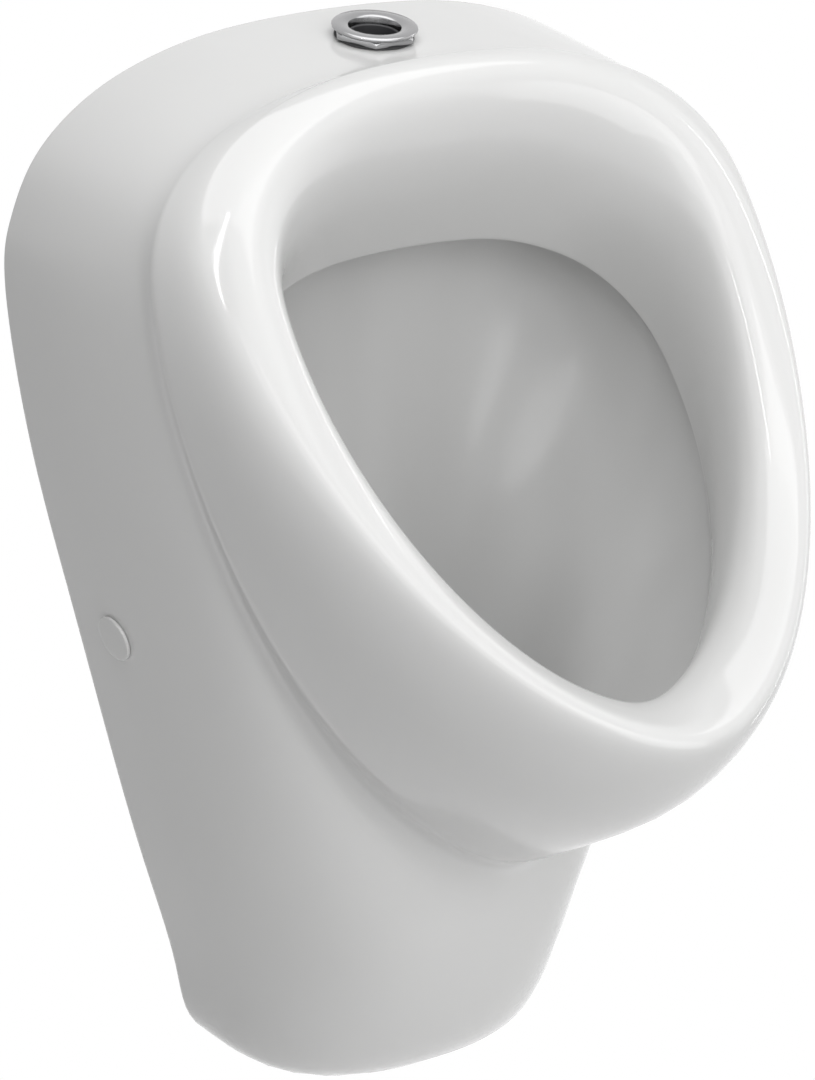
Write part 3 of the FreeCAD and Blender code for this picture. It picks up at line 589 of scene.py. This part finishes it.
def egg(width, wide_at, top, low, round_top, round_low, lean=1.0):
    """Egg shaped ring; top and low are (y, z), and wide_at is a share of its height."""
    z_wide = low[1] + (top[1] - low[1]) * wide_at
    ring = []
    for j in range(POINTS):
        angle = 2 * math.pi * j / POINTS
        upper = math.cos(angle) > 0
        roundness = round_top if upper else round_low
        reach = top[1] - z_wide if upper else z_wide - low[1]
        x = width / 2 * power(math.sin(angle), 2 / roundness)
        z = z_wide + reach * power(math.cos(angle), 2 / roundness)
        fall = max(0.0, (top[1] - z) / (top[1] - low[1]))
        ring.append((x, top[0] + (low[0] - top[0]) * fall ** lean, z))
    return np.array(ring)


def circle_ring(radius, y, z):
    """Level circle with the same number of points."""
    angle = 2 * np.pi * np.arange(POINTS) / POINTS
    return np.stack([radius * np.sin(angle), y + radius * np.cos(angle), np.full(POINTS, z)], 1)


print("points of a ring", len(circle_ring(DRAIN_R, DRAIN_Y, DRAIN_Z)))


# %% Rings from other rings
def normals(ring, before, after):
    """Direction out of the surface at each point of a ring, from the rings beside it."""
    around = np.roll(ring, -1, 0) - np.roll(ring, 1, 0)
    out = np.cross(after - before, around)
    return out / np.linalg.norm(out, axis=1)[:, None]


def bulged(a, b, share, bulge):
    """Ring between a and b, pushed out of the straight strip."""
    out = np.array([bulge(downness(j)) for j in range(POINTS)])
    return a + (b - a) * share + normals(a, a, b) * out[:, None]


def pushed(rings, i, distance):
    """Ring i moved along the surface normals."""
    before, after = rings[max(i - 1, 0)], rings[min(i + 1, len(rings) - 1)]
    return rings[i] + normals(rings[i], before, after) * distance


print("halfway from 0 to 10 is", mixed(0, 10, 0.5))

# %% [markdown]
# The outline on the wall has round shoulders, straight flanks that narrow downwards, and two
# small lower corners. From there the body runs straight out under the top shelf, and turns in a
# quarter round under the chin. The rim bulges out from the crease: a little at the sides, a lot
# under the front.

# %% Rings of the body
def wall_ring():
    """Ring on the wall: half an egg on top, then a flank down to the small lower corners."""
    upper = egg(WIDTH, 0.79, (0, HEIGHT), (0, 0), 2.47, 2.0)[: POINTS // 4 + 1]
    # shares of half the width and of the height
    flank = [(0.943, 0.649), (0.842, 0.501), (0.735, 0.353), (0.631, 0.219), (0.536, 0.103),
             (0.426, 0.025), (0, 0.0145)]
    lower = np.array([(x * WIDTH / 2, 0, z * HEIGHT) for x, z in flank])
    half = np.vstack([upper, lower])
    return np.vstack([half, half[-2:0:-1] * (-1, 1, 1)])


SAG = 0.043


def body_ring(wall, crease, turn):
    """Ring on the body: straight at the top shelf, quarter round under the chin."""
    c, s = math.cos(turn), math.sin(turn)
    sag = HEIGHT * SAG * math.sin(2 * turn)
    ring = []
    for j in range(POINTS):
        k = downness(j)
        w, e = wall[j], crease[j]
        straight = w + (e - w) * (turn / (math.pi / 2))
        x = e[0] + (w[0] - e[0]) * c ** (1 + 1.3 * k)
        turned = np.array((x, e[1] * s, w[2] + (e[2] - w[2]) * (1 - c) - sag * k ** 24))
        ring.append(straight + (turned - straight) * k ** 0.7)
    return np.array(ring)


print("wall ring from", wall_ring().min(0), "to", wall_ring().max(0))

# %% Rings of the rim
# share of the way from the crease to the crest, bulge at the sides, bulge under the front
SWELL = ((0.1, 3.2, 8.5), (0.3, 4.6, 14.0), (0.62, 4.8, 18.0), (0.88, 2.7, 10.8))


def rim_bulge(side, front):
    """Bulge of the rim's outer side, given for the sides and for the front."""
    return lambda k: side * min(1, 2 * k) + 2 * (front - side) * max(0, k - 0.5)


def outer_rings():
    """Rings from the wall to the crest of the rim."""
    wall = wall_ring()
    crease = egg(CREASE_WIDTH, 0.761, (-SHELF_DEPTH, HEIGHT - SHELF_DROP),
                 (-CREASE_DEPTH, CREASE_LOW), 2.6, 1.63, 0.72)
    crest = egg(RIM_WIDTH, 0.6825, (-RIM_TOP_DEPTH, HEIGHT - RIM_TOP_DROP), (-DEPTH, RIM_LOW),
                2.35, 1.78, 1.25)
    body = [body_ring(wall, crease, math.radians(a)) for a in (22.5, 45, 67.5)]
    rim = [bulged(crease, crest, share, rim_bulge(side, front)) for share, side, front in SWELL]
    return [wall] + body + [crease] + rim + [crest]


outer = outer_rings()
print("rings outside", len(outer))


# %% [markdown]
# From the crest the face of the rim turns inwards to a lip, runs back under the hood, and ends at
# a sharp edge. Behind the edge the bowl is undercut, then it falls along the back to the waste.

# %% Rings under the hood
EDGE_TOP = (-HOOD_DEPTH, HEIGHT - HOOD_DROP)
EDGE_LOW = (OPENING_FRONT - DEPTH, RIM_LOW - OPENING_DROP)


def hood_rings(crest):
    """Rings from the crest to the sharp edge of the opening."""
    top = (-RIM_TOP_DEPTH - LIP_DEPTH, HEIGHT - RIM_TOP_DROP - LIP_DEPTH / 2)
    low = (LIP_FRONT - DEPTH, RIM_LOW + LIP_FRONT / 5)
    lip = egg(RIM_WIDTH - 2 * RIM_FACE, 0.7047, top, low, 2.3, 1.78, 1.1)
    edge = egg(OPENING_WIDTH, 0.59, EDGE_TOP, EDGE_LOW, 2.6, 1.88)
    crown = bulged(crest, lip, 0.5, lambda k: 3.0)
    upper = bulged(lip, edge, 0.3, lambda k: 11 - 6 * k + 8 * k * (1 - k))
    lower = bulged(lip, edge, 0.65, lambda k: 8.5 - 5 * k + 6 * k * (1 - k))
    return [crown, lip, upper, lower, edge]


print("sharp edge from", EDGE_TOP, "to", EDGE_LOW)


# %% Rings of the bowl
def bowl_rings():
    """Rings behind the sharp edge down to the waste."""
    throat = (14 - CREASE_DEPTH, CREASE_LOW + 15)
    drain = (DRAIN_Y - DRAIN_R, DRAIN_Z)
    rows = [
        # width, height of the top, distance from the back, low point, widest at, roundness
        (1.023, 1.017, 20, mixed(EDGE_LOW, throat, 0.175), 0.617, 2.6, 1.78),
        (0.972, 0.971, 6, mixed(EDGE_LOW, throat, 0.425), 0.642, 2.5, 1.72),
        (0.776, 0.828, 1, mixed(EDGE_LOW, throat, 0.725), 0.689, 2.4, 1.75),
        (0.542, 0.618, 0, throat, 0.625, 2.2, 1.85),
        (0.336, 0.359, 2, mixed(throat, drain, 0.45), 0.567, 2.1, 1.95),
        (0.14, 0.139, 13, mixed(throat, drain, 0.72), 0.594, 2.0, 2.0),
    ]
    rings = []
    for width, height, forward, low, wide_at, round_top, round_low in rows:
        across = 2 * DRAIN_R + (OPENING_WIDTH - 2 * DRAIN_R) * width
        top = (-BOWL_BACK - forward, DRAIN_Z + (EDGE_TOP[1] - DRAIN_Z) * height)
        rings.append(egg(across, wide_at, top, low, round_top, round_low))
    return rings + [circle_ring(DRAIN_R, DRAIN_Y, DRAIN_Z)]


inner = hood_rings(outer[-1]) + bowl_rings()
print("rings inside", len(inner))

# %% [markdown]
# Straight faces between so few rings would show as facets. A Subdivision Surface would smooth
# them, but it also shrinks the outlines. Instead a cubic curve runs through point n of every
# ring, and another one round each ring, which gives as many rings and points as the mesh needs.

# %% Curves through the rings
def spline(knots, points, at):
    """Natural cubic curve through points at the knots, read at other places."""
    n = len(knots)
    h = np.diff(knots)
    system = np.eye(n)
    right = np.zeros((n,) + points.shape[1:])
    slope = np.diff(points, axis=0) / h.reshape(-1, *[1] * (points.ndim - 1))
    for i in range(1, n - 1):
        system[i, i - 1:i + 2] = h[i - 1], 2 * (h[i - 1] + h[i]), h[i]
        right[i] = 6 * (slope[i] - slope[i - 1])
    second = np.linalg.solve(system, right.reshape(n, -1)).reshape(right.shape)
    result = []
    for t in at:
        i = min(max(int(np.searchsorted(knots, t, "right")) - 1, 0), n - 2)
        a = (knots[i + 1] - t) / h[i]
        b = 1 - a
        cubic = (a ** 3 - a) * second[i] + (b ** 3 - b) * second[i + 1]
        result.append(a * points[i] + b * points[i + 1] + cubic * h[i] ** 2 / 6)
    return np.array(result)


def finer_ring(ring, pieces):
    """Closed ring with each step cut into pieces."""
    wrap = 6
    longer = np.vstack([ring[-wrap:], ring, ring[:wrap]])
    at = np.arange(len(ring) * pieces) / pieces + wrap
    return spline(np.arange(len(longer), dtype=float), longer, at)


def ring_lengths(rings):
    """Mean distance along the surface from the first ring to each ring."""
    steps = np.linalg.norm(np.diff(rings, axis=0), axis=2).mean(1)
    return np.concatenate([[0], np.cumsum(steps)])


def section(rings, pieces, step=1.0):
    """Dense rings on the smooth surface through a few rings."""
    rings = np.array([finer_ring(ring, pieces) for ring in rings])
    length = ring_lengths(rings)
    knots = np.concatenate([[0], np.cumsum(np.diff(length) ** 0.8)])
    stations = np.linspace(0, length[-1], max(3, int(length[-1] / step)))
    return spline(knots, rings, np.interp(stations, length, knots))


print("dense rings on the body", len(section(outer[:5], 1)))

# %% [markdown]
# The curve is broken at the crease and at the sharp edge, so that they stay crisp, and each break
# is then rounded with a small radius. A Bevel modifier has one width for a whole edge. Rounding
# the rings themselves lets the radius grow towards the top, as it does on the real piece.

# %% Rounded corners
def read_rings(rings, length, stations):
    """Rings at other stations; stations may differ from point to point."""
    count = rings.shape[1]
    stations = np.broadcast_to(np.asarray(stations, dtype=float), (count,))
    i = np.clip(np.searchsorted(length, stations, "right") - 1, 0, len(length) - 2)
    share = (stations - length[i]) / (length[i + 1] - length[i])
    j = np.arange(count)
    return rings[i, j] * (1 - share)[:, None] + rings[i + 1, j] * share[:, None]


def rounded(rings, length, station, at, radius):
    """Ring at a station beside a corner, on the arc that rounds the corner off."""
    radius = np.broadcast_to(radius, (rings.shape[1],))
    here = read_rings(rings, length, station)
    before, after = read_rings(rings, length, at - radius), read_rings(rings, length, at + radius)
    t = np.clip((station - at + radius) / (2 * radius), 0, 1)[:, None]
    arc = (1 - t) ** 2 * before + 2 * t * (1 - t) * read_rings(rings, length, at) + t ** 2 * after
    return np.where((abs(station - at) < radius)[:, None], arc, here)


print("a corner is rounded on both sides of its station")

# %% [markdown]
# Rings stand close together where the surface bends and wider apart where it is flat, so that the
# bends are smooth and the mesh stays small.

# %% Rings where they are needed
def graded(length, marks, fine, coarse, growth):
    """Stations from 0 to length, close together at the marks and wider away from them."""
    stations = [0.0]
    while stations[-1] < length:
        gap = min(abs(stations[-1] - m) for m in marks)
        stations.append(stations[-1] + min(coarse, fine + growth * gap))
    return np.array(stations) * length / stations[-1]


def station_of(ring, rings, length, pieces):
    """Station where the surface passes through a ring."""
    away = np.linalg.norm(rings - finer_ring(ring, pieces), axis=2).mean(1)
    return length[np.argmin(away)]


def eased(rings, length, at, radius):
    """Rings averaged with their neighbours near a station, which makes a ridge there rounder."""
    reach = int(3 * radius)
    weights = np.exp(-0.5 * (np.arange(-reach, reach + 1) / radius) ** 2)
    padded = np.pad(rings, ((reach, reach), (0, 0), (0, 0)), mode="reflect")
    mean = sum(w * padded[i:i + len(rings)] for i, w in enumerate(weights / weights.sum()))
    share = np.exp(-0.5 * ((length - at) / (1.8 * radius)) ** 2)[:, None, None]
    return rings + (mean - rings) * share


print("stations on 40 mm with a bend in the middle", len(graded(40.0, [20.0], 1.2, 10.0, 0.2)))


# %% Surface through all rings
PIECES = 8


def skin(parts, radii=(), fine_at=(), ease=(), pieces=PIECES, fine=1.2, coarse=10.0, growth=0.2):
    """Rings on several sections that meet in rounded corners."""
    dense = [section(rings, pieces) for rings in parts]
    joined = np.concatenate([dense[0]] + [part[1:] for part in dense[1:]])
    length = ring_lengths(joined)
    for ring, radius in ease:
        joined = eased(joined, length, station_of(ring, joined, length, pieces), radius)
    corners = [length[end] for end in np.cumsum([len(part) - 1 for part in dense])[:-1]]
    marks = corners + [station_of(ring, joined, length, pieces) for ring in fine_at]
    result = []
    for station in graded(length[-1], marks or [0.0], fine, coarse, growth):
        if corners:
            near = min(range(len(corners)), key=lambda i: abs(station - corners[i]))
            result.append(rounded(joined, length, station, corners[near], radii[near]))
        else:
            result.append(read_rings(joined, length, station))
    return result


print("rings on the body alone", len(skin([outer[:5]])))

# %% [markdown]
# The mesh starts as a circle. It is extruded once for each ring, and the new points are put in
# their places on that ring. At the end both open loops are filled, which makes a closed solid.

# %% Solid from rings
def loft(name, rings):
    """Closed mesh through rings given in millimetres from the lowest point of the ceramic."""
    clear_selection()
    bpy.ops.mesh.primitive_circle_add(vertices=len(rings[0]), radius=1)
    piece = bpy.context.object
    piece.name = name
    bpy.ops.object.mode_set(mode="EDIT")
    indices = list(range(len(rings[0])))
    for n, ring in enumerate(rings):
        if n:
            bpy.ops.mesh.extrude_edges_move()
        mesh = bmesh.from_edit_mesh(piece.data)
        mesh.verts.ensure_lookup_table()
        row = [mesh.verts[i] for i in indices]
        if n:
            row = [next(e.other_vert(v) for e in v.link_edges if e.other_vert(v).select)
                   for v in row]
        for vertex, point in zip(row, ring):
            vertex.co = Vector((point - (0, 0, FRAME_HEIGHT)) * MM)
        mesh.verts.index_update()
        indices = [v.index for v in row]
        bmesh.update_edit_mesh(piece.data)
    close_ends(piece)
    return piece


print("a loft starts", FRAME_HEIGHT, "mm below the origin")

# %% [markdown]
# The glaze rounds every corner of the real piece: the edge at the wall least, the crease most,
# and the crease more at the top than under the chin. The rim is one soft roll, so its crest and
# its lip are eased as well.

# %% Radii of the glaze
SIDES = PIECES * POINTS
ALONG = (1 - np.cos(2 * np.pi * np.arange(SIDES) / SIDES)) / 2
UPPER_PART = np.clip(1 - ALONG / 0.45, 0, 1)
WALL_RADIUS = 1.5
CREASE_RADIUS = 13.0 + 14.0 * UPPER_PART
EDGE_RADIUS = 2.5
CREST_EASE, LIP_EASE = 4.0, 9.0
LEAD_IN = 3.0
print("crease radius", CREASE_RADIUS.min(), "to", CREASE_RADIUS.max(), "mm")

# %% Outside of the ceramic
CREST = outer[-1]
LIP, EDGE = inner[1], inner[4]

lead_in = pushed(outer, 0, -LEAD_IN)
lead_in[:, 1] = 0
parts = [[lead_in, outer[0]], outer[:5], outer[4:] + inner[:5], inner[4:]]
rings = skin(parts, [WALL_RADIUS, CREASE_RADIUS, EDGE_RADIUS], fine_at=[CREST, LIP],
             ease=[(CREST, CREST_EASE), (LIP, LIP_EASE)])
ceramic = loft("ceramic_shell", rings)
print("ceramic rings", len(rings), "faces", len(ceramic.data.polygons))

# %% [markdown]
# The bowl has its own glaze, whose darker grey is painted shade. It could be a piece of its own,
# but then a seam runs along the sharp edge. The points of the mesh were made ring by ring, so the
# number of a point tells its ring: every face behind the sharp edge gets the darker bowl glaze,
# the rest the white one.

# %% Two glazes
edge_points = finer_ring(EDGE, PIECES)
away = [np.linalg.norm(ring - edge_points, axis=1).mean() for ring in rings]
sharp_edge = int(np.argmin(away))
ceramic.data.materials.append(FINISH["ceramic"])
ceramic.data.materials.append(FINISH["bowl"])
for polygon in ceramic.data.polygons:
    first_ring = min(polygon.vertices) // SIDES
    polygon.material_index = 1 if first_ring >= sharp_edge and len(polygon.vertices) == 4 else 0
print("bowl starts at ring", sharp_edge)

# %% [markdown]
# The body is hollow behind: a wall hung piece hides its pipes and brackets. A Solidify modifier
# would give the walls, but it folds over itself at the narrow foot of the bowl. So the space is
# the body made thinner by the wall thickness, less the bowl made thicker by it. Both are lofted
# the same way, with fewer points because nobody sees them closely, and a Boolean takes one from
# the other.

# %% Space behind the ceramic
COARSE_PIECES, COARSE_STEP = 4, 4.0


def hollow():
    """Solid that fills the space between the body, the bowl and the wall."""
    start = pushed(outer, 0, -BACK_EDGE)
    start[:, 1] = 0
    behind = start + (0, 3, 0)
    front = egg(CREASE_WIDTH - 2 * WALL - 2, 0.79, (8 - SHELF_DEPTH, HEIGHT - SHELF_DROP - WALL - 1),
                (12 - CREASE_DEPTH, CREASE_LOW - 16), 2.6, 1.6)
    walls = [behind, start, pushed(outer, 1, -WALL), pushed(outer, 2, -WALL), front]
    space = loft("space", skin([walls], pieces=COARSE_PIECES, fine=COARSE_STEP))
    first = egg(RIM_WIDTH - 21, 0.663, (-RIM_TOP_DEPTH - LIP_DEPTH, HEIGHT),
                (LIP_FRONT + 3 - DEPTH, RIM_LOW - 4), 2.3, 1.8)
    thick = [pushed(inner, i, -WALL) for i in range(3, len(inner) - 1)]
    last = circle_ring(DRAIN_R + WALL, DRAIN_Y, DRAIN_Z - WALL - 1)
    walls = [first] + thick + [last]
    bowl = loft("bowl", skin([walls], pieces=COARSE_PIECES, fine=COARSE_STEP))
    cut(space, bowl)
    return space


cut(ceramic, hollow())
print("hollow ceramic faces", len(ceramic.data.polygons))

# %% [markdown]
# Two ceramic shoulders inside rest on the hooks on the wall. Holes are cut for the water inlet,
# the spray nozzle, the waste and the two side screws. A hole could be a ring of edges in the
# mesh, but the rings of the ceramic run another way, so round bars are taken away with Booleans.
# The inlet stands square on the shelf, which slopes, so its tools are turned with the shelf.

# %% Places of the fittings
TILT = math.atan2(SHELF_DROP, SHELF_DEPTH)
INLET_Y = -43.2
INLET = Vector((0, INLET_Y, HEIGHT - FRAME_HEIGHT + INLET_Y * SHELF_DROP / SHELF_DEPTH)) * MM
ON_SHELF = Matrix.Translation(INLET) @ Matrix.Rotation(TILT, 4, "X")
CAP_POINT = Vector((-148.495, -39.0, 264.0 - FRAME_HEIGHT)) * MM
CAP_NORMAL = Vector((-0.9676965, -0.1015849, -0.2307467))
UP = Vector((0, 0, 1))


def on_side(mirror):
    """Place of the left side hole, or of the right one if mirrored."""
    flip = Vector((-1, 1, 1)) if mirror else Vector((1, 1, 1))
    turn = UP.rotation_difference(CAP_NORMAL * flip).to_matrix().to_4x4()
    return Matrix.Translation(CAP_POINT * flip) @ turn


def upright(x, y):
    """Place of an upright fitting; heights are given from the lowest point of the ceramic."""
    return Matrix.Translation(Vector((x, y, -FRAME_HEIGHT)) * MM)


print("inlet leans", round(math.degrees(TILT), 1), "degrees")


# %% Round bars
BAR_SIDES = 64


def settle(piece, place):
    """Move a piece to its place and put the place into its mesh."""
    pick(piece)
    piece.matrix_world = place @ piece.matrix_world
    bpy.ops.object.transform_apply(location=True, rotation=True, scale=True)
    return piece


def rod(radius, low, high, place, sides=BAR_SIDES):
    """Round bar between two heights, in millimetres, in a place."""
    clear_selection()
    bpy.ops.mesh.primitive_cylinder_add(vertices=sides, radius=radius * MM,
                                        depth=(high - low) * MM,
                                        location=(0, 0, (high + low) / 2 * MM))
    return settle(bpy.context.object, place)


print("bars have", BAR_SIDES, "sides")

# %% Shoulders
SHOULDER_X, SHOULDER_Y, SHOULDER_Z = 0.130, -0.01415, 0.116
SHOULDER_SIZE = (0.076, 0.0197, 0.016)

for side in (-1, 1):
    clear_selection()
    bpy.ops.mesh.primitive_cube_add(size=1, location=(side * SHOULDER_X, SHOULDER_Y, SHOULDER_Z),
                                    scale=SHOULDER_SIZE)
    shoulder = settle(bpy.context.object, Matrix())
    soften(shoulder, 2.0)
    cut(ceramic, shoulder, "UNION")
print("ceramic with shoulders", len(ceramic.data.polygons), "faces")

# %% Holes
NOZZLE_Y = -52
CERAMIC_SHARP_ANGLE = 50
HOLES = [
    # radius, from, to, place
    (16.6, -30, 20, ON_SHELF),
    (27.0, -30, -8.2, ON_SHELF),
    (7.3, 429.5, 461.5, upright(0, NOZZLE_Y)),
    (17.0, 460.5, 489.5, upright(0, NOZZLE_Y)),
    (20.2, 100, 128, upright(0, DRAIN_Y)),
    (23.2, 119.5, 125, upright(0, DRAIN_Y)),
    (7.5, -20, 10, on_side(False)),
    (7.5, -20, 10, on_side(True)),
]
for radius, low, high, place in HOLES:
    cut(ceramic, rod(radius, low, high, place))
smooth(ceramic, CERAMIC_SHARP_ANGLE)
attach(ceramic, "urinal")
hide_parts("ceramic_body")
print("ceramic with holes", len(ceramic.data.polygons), "faces")

# %% [markdown]
# ## Turned pieces
#
# Rings, washers and sleeves come off a lathe. Spin would turn a half section round the axis, but
# it can leave a seam and turn the faces inside out. Here the half section is walked point by
# point: a circle is extruded, scaled to the next radius and moved to the next height, and the
# last circle is bridged to the first. Each point of the section is then one edge loop that can
# be bevelled.

# %% Lathe
TURNED_SIDES = 96


def turned_ring(name, section_points, sides=TURNED_SIDES):
    """Closed ring; section_points are (radius, height) in millimetres round the section."""
    clear_selection()
    radius, height = section_points[0]
    bpy.ops.mesh.primitive_circle_add(vertices=sides, radius=radius * MM,
                                      location=(0, 0, height * MM))
    piece = bpy.context.object
    piece.name = name
    bpy.ops.object.transform_apply(location=True, rotation=True, scale=True)
    bpy.ops.object.mode_set(mode="EDIT")
    for wider, higher in section_points[1:]:
        bpy.ops.mesh.extrude_edges_move()
        grow = wider / radius
        bpy.ops.transform.resize(value=(grow, grow, 1), center_override=(0, 0, height * MM))
        bpy.ops.transform.translate(value=(0, 0, (higher - height) * MM))
        radius, height = wider, higher
    mesh = bmesh.from_edit_mesh(piece.data)
    for edge in mesh.edges:
        edge.select = edge.is_boundary
    bmesh.update_edit_mesh(piece.data)
    bpy.ops.mesh.bridge_edge_loops()
    bpy.ops.mesh.select_all(action="SELECT")
    bpy.ops.mesh.normals_make_consistent(inside=False)
    bpy.ops.object.mode_set(mode="OBJECT")
    return piece


print("turned pieces have", TURNED_SIDES, "sides")


# %% Finish and body of a piece
def dress(piece, slot, body, *stands_for):
    """Finish, slot, body and CAD node of a new piece."""
    smooth(piece)
    piece.data.materials.clear()
    piece.data.materials.append(FINISH[slot])
    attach(piece, body)
    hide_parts(*stands_for)
    print(piece.name, len(piece.data.polygons), "faces")


print("finishes to choose from", sorted(FINISH))

# %% [markdown]
# The chrome ring and its tube are one turned piece. Two cylinders and a Boolean would give its
# steps, but not its top, which is slightly dished towards the bore. Every edge has a small
# radius, which is where chrome shows its bright lines.

# %% Inlet ring
RING_SECTION = [(13.1, -34), (16.0, -34), (16.0, 4.4), (20.5, 4.4), (21.25, 5.1), (21.25, 6.0),
                (20.3, 6.6), (14.6, 6.4), (13.1, 5.6)]
CHROME_EDGE = 0.3

inlet_ring = turned_ring("inlet_chrome_ring", RING_SECTION)
soften(inlet_ring, CHROME_EDGE, 2)
dress(settle(inlet_ring, ON_SHELF), "chrome", "urinal", "inlet_ring")

# %% [markdown]
# Under the ring sits a thin hexagon nut. A bevel would cut its corners straight, but on a real
# nut a cone turns them off, which leaves a curved line on each flat. So a six sided bar is
# crossed with a cone, gets a round hole, and its edges are softened.

# %% Hexagon nut
NUT_FLATS, NUT_LOW, NUT_HIGH = 18.5, 1.4, 4.35
CHAMFER = 0.93


def cone(low_radius, high_radius, low, high):
    """Upright cone between two heights, in millimetres."""
    clear_selection()
    bpy.ops.mesh.primitive_cone_add(vertices=96, radius1=low_radius * MM, radius2=high_radius * MM,
                                    depth=(high - low) * MM,
                                    location=(0, 0, (high + low) / 2 * MM))
    return settle(bpy.context.object, Matrix())


half_side = math.radians(30)
corner = NUT_FLATS / math.cos(half_side)
hex_nut = rod(corner, NUT_LOW, NUT_HIGH, Matrix.Rotation(half_side, 4, "Z"), sides=6)
hex_nut.name = "inlet_chrome_nut"
cut(hex_nut, cone(corner * CHAMFER + 3, corner * CHAMFER, 1.35, 4.4), "INTERSECT")
cut(hex_nut, rod(16.1, -1, 6, Matrix(), TURNED_SIDES))
soften(hex_nut, 0.25, 2)
dress(settle(hex_nut, ON_SHELF), "chrome", "urinal", "inlet_hex_nut")

# %% [markdown]
# The gasket is squeezed under the nut, so its rim bulges a little. A flat disc would do from
# afar, but up close a bulged rim catches the light as rubber does.

# %% Gasket
GASKET_SECTION = [(16.1, 0.12), (18.9, 0.12), (19.5, 0.35), (19.7, 0.7), (19.5, 1.05),
                  (18.9, 1.28), (16.1, 1.28)]
gasket = turned_ring("inlet_gasket_ring", GASKET_SECTION)
dress(settle(gasket, ON_SHELF), "rubber", "urinal", "inlet_gasket")

# %% [markdown]
# Inside the tube a thin dark sleeve ends in a rolled lip. A bevel on its end would be too small
# to see, so the lip is half a circle in the section.

# %% Sleeve
SLEEVE_IN, SLEEVE_OUT, SLEEVE_LOW, SLEEVE_HIGH = 11.5, 13.0, -18, 1.5
LIP_STEPS = 10

lip_r = (SLEEVE_OUT - SLEEVE_IN) / 2
lip = []
for step in range(LIP_STEPS + 1):
    angle = math.pi * step / LIP_STEPS
    lip.append((SLEEVE_IN + lip_r - lip_r * math.cos(angle), SLEEVE_HIGH + lip_r * math.sin(angle)))
sleeve = turned_ring("inlet_sleeve", [(SLEEVE_IN, SLEEVE_LOW)] + lip + [(SLEEVE_OUT, SLEEVE_LOW)])
dress(settle(sleeve, ON_SHELF), "dark_plastic", "urinal", "inlet_insert")

# %% [markdown]
# A white cap snaps over each side screw. It is a low dome with a rounded rim on a hollow stem. A
# slice of a sphere has the dome but a sharp rim. A cylinder gets its top face inset and lifted a
# few times, which makes the dome, and its rim bevelled. The two caps move apart from each other,
# so each has its own mesh.

# %% Dome of a cap
CAP_R, CAP_LOW, CAP_RIM = 12.0, 0.3, 2.15
# how far each inset goes inwards, and how far it then rises
DOME_STEPS = ((1.4, 0.16), (2.2, 0.09), (3.0, 0.06), (3.0, 0.03))
STEM_SECTION = [(3.6, -5.2), (4.9, -5.2), (4.9, 0.5), (3.6, 0.5)]


def dome(name):
    """Round cap with a rounded rim; it stands on the origin."""
    clear_selection()
    bpy.ops.mesh.primitive_cylinder_add(vertices=TURNED_SIDES, radius=CAP_R * MM,
                                        depth=(CAP_RIM - CAP_LOW) * MM,
                                        location=(0, 0, (CAP_RIM + CAP_LOW) / 2 * MM))
    cap = settle(bpy.context.object, Matrix())
    cap.name = name
    bpy.ops.object.mode_set(mode="EDIT")
    mesh = bmesh.from_edit_mesh(cap.data)
    for face in mesh.faces:
        face.select = face.normal.z > 0.9
    bmesh.update_edit_mesh(cap.data)
    for thickness, lift in DOME_STEPS:
        bpy.ops.mesh.inset(thickness=thickness * MM)
        bpy.ops.transform.translate(value=(0, 0, lift * MM))
    bpy.ops.object.mode_set(mode="OBJECT")
    soften(cap, 0.7, 4)
    return cap


print("the dome rises", round(sum(step[1] for step in DOME_STEPS), 2), "mm")


# %% Side caps
def side_cap(name, body, node, mirror):
    """Cap with its stem, on one side of the body."""
    cap = dome(name)
    cut(cap, turned_ring("stem", STEM_SECTION, 48), "UNION")
    dress(settle(cap, on_side(mirror)), "white_cap", body, node)


side_cap("cap_on_left", "cap_left", "side_cap_left", False)
side_cap("cap_on_right", "cap_right", "side_cap_right", True)

# %% [markdown]
# ## Floor
#
# The floor is pale and far below, so it gives soft light from underneath. A curved backdrop would
# hide its edge from every side, but it would also throw light on the back. For rays that see the
# floor directly it is nearly white, as the background is, and a share of the real shading is
# kept, so the object's shadow still shows on it.

# %% Floor
FLOOR_SIZE, FLOOR_AT = 3.4, (-0.5, -1.0, -1.1)
FLOOR_WHITENESS = 0.93

clear_selection()
bpy.ops.mesh.primitive_plane_add(size=FLOOR_SIZE, location=FLOOR_AT)
floor = bpy.context.object
floor.name = "floor"
paint = Finish("floor_paint", Base_Color=(0.9, 0.9, 0.9), Roughness=0.8)
seen = Wire(paint, seen_directly(paint.tree)) * FLOOR_WHITENESS
glow = paint.node("ShaderNodeEmission", None, {"Color": (1, 1, 1, 1)})
lit = Wire(paint, paint.shader.outputs[0])
blend = paint.node("ShaderNodeMixShader", None, {0: seen, 1: lit, 2: glow})
paint.tree.links.new(blend.socket, paint.tree.nodes["Material Output"].inputs[0])
floor.data.materials.append(paint.material)
print("floor at", floor.location.z)
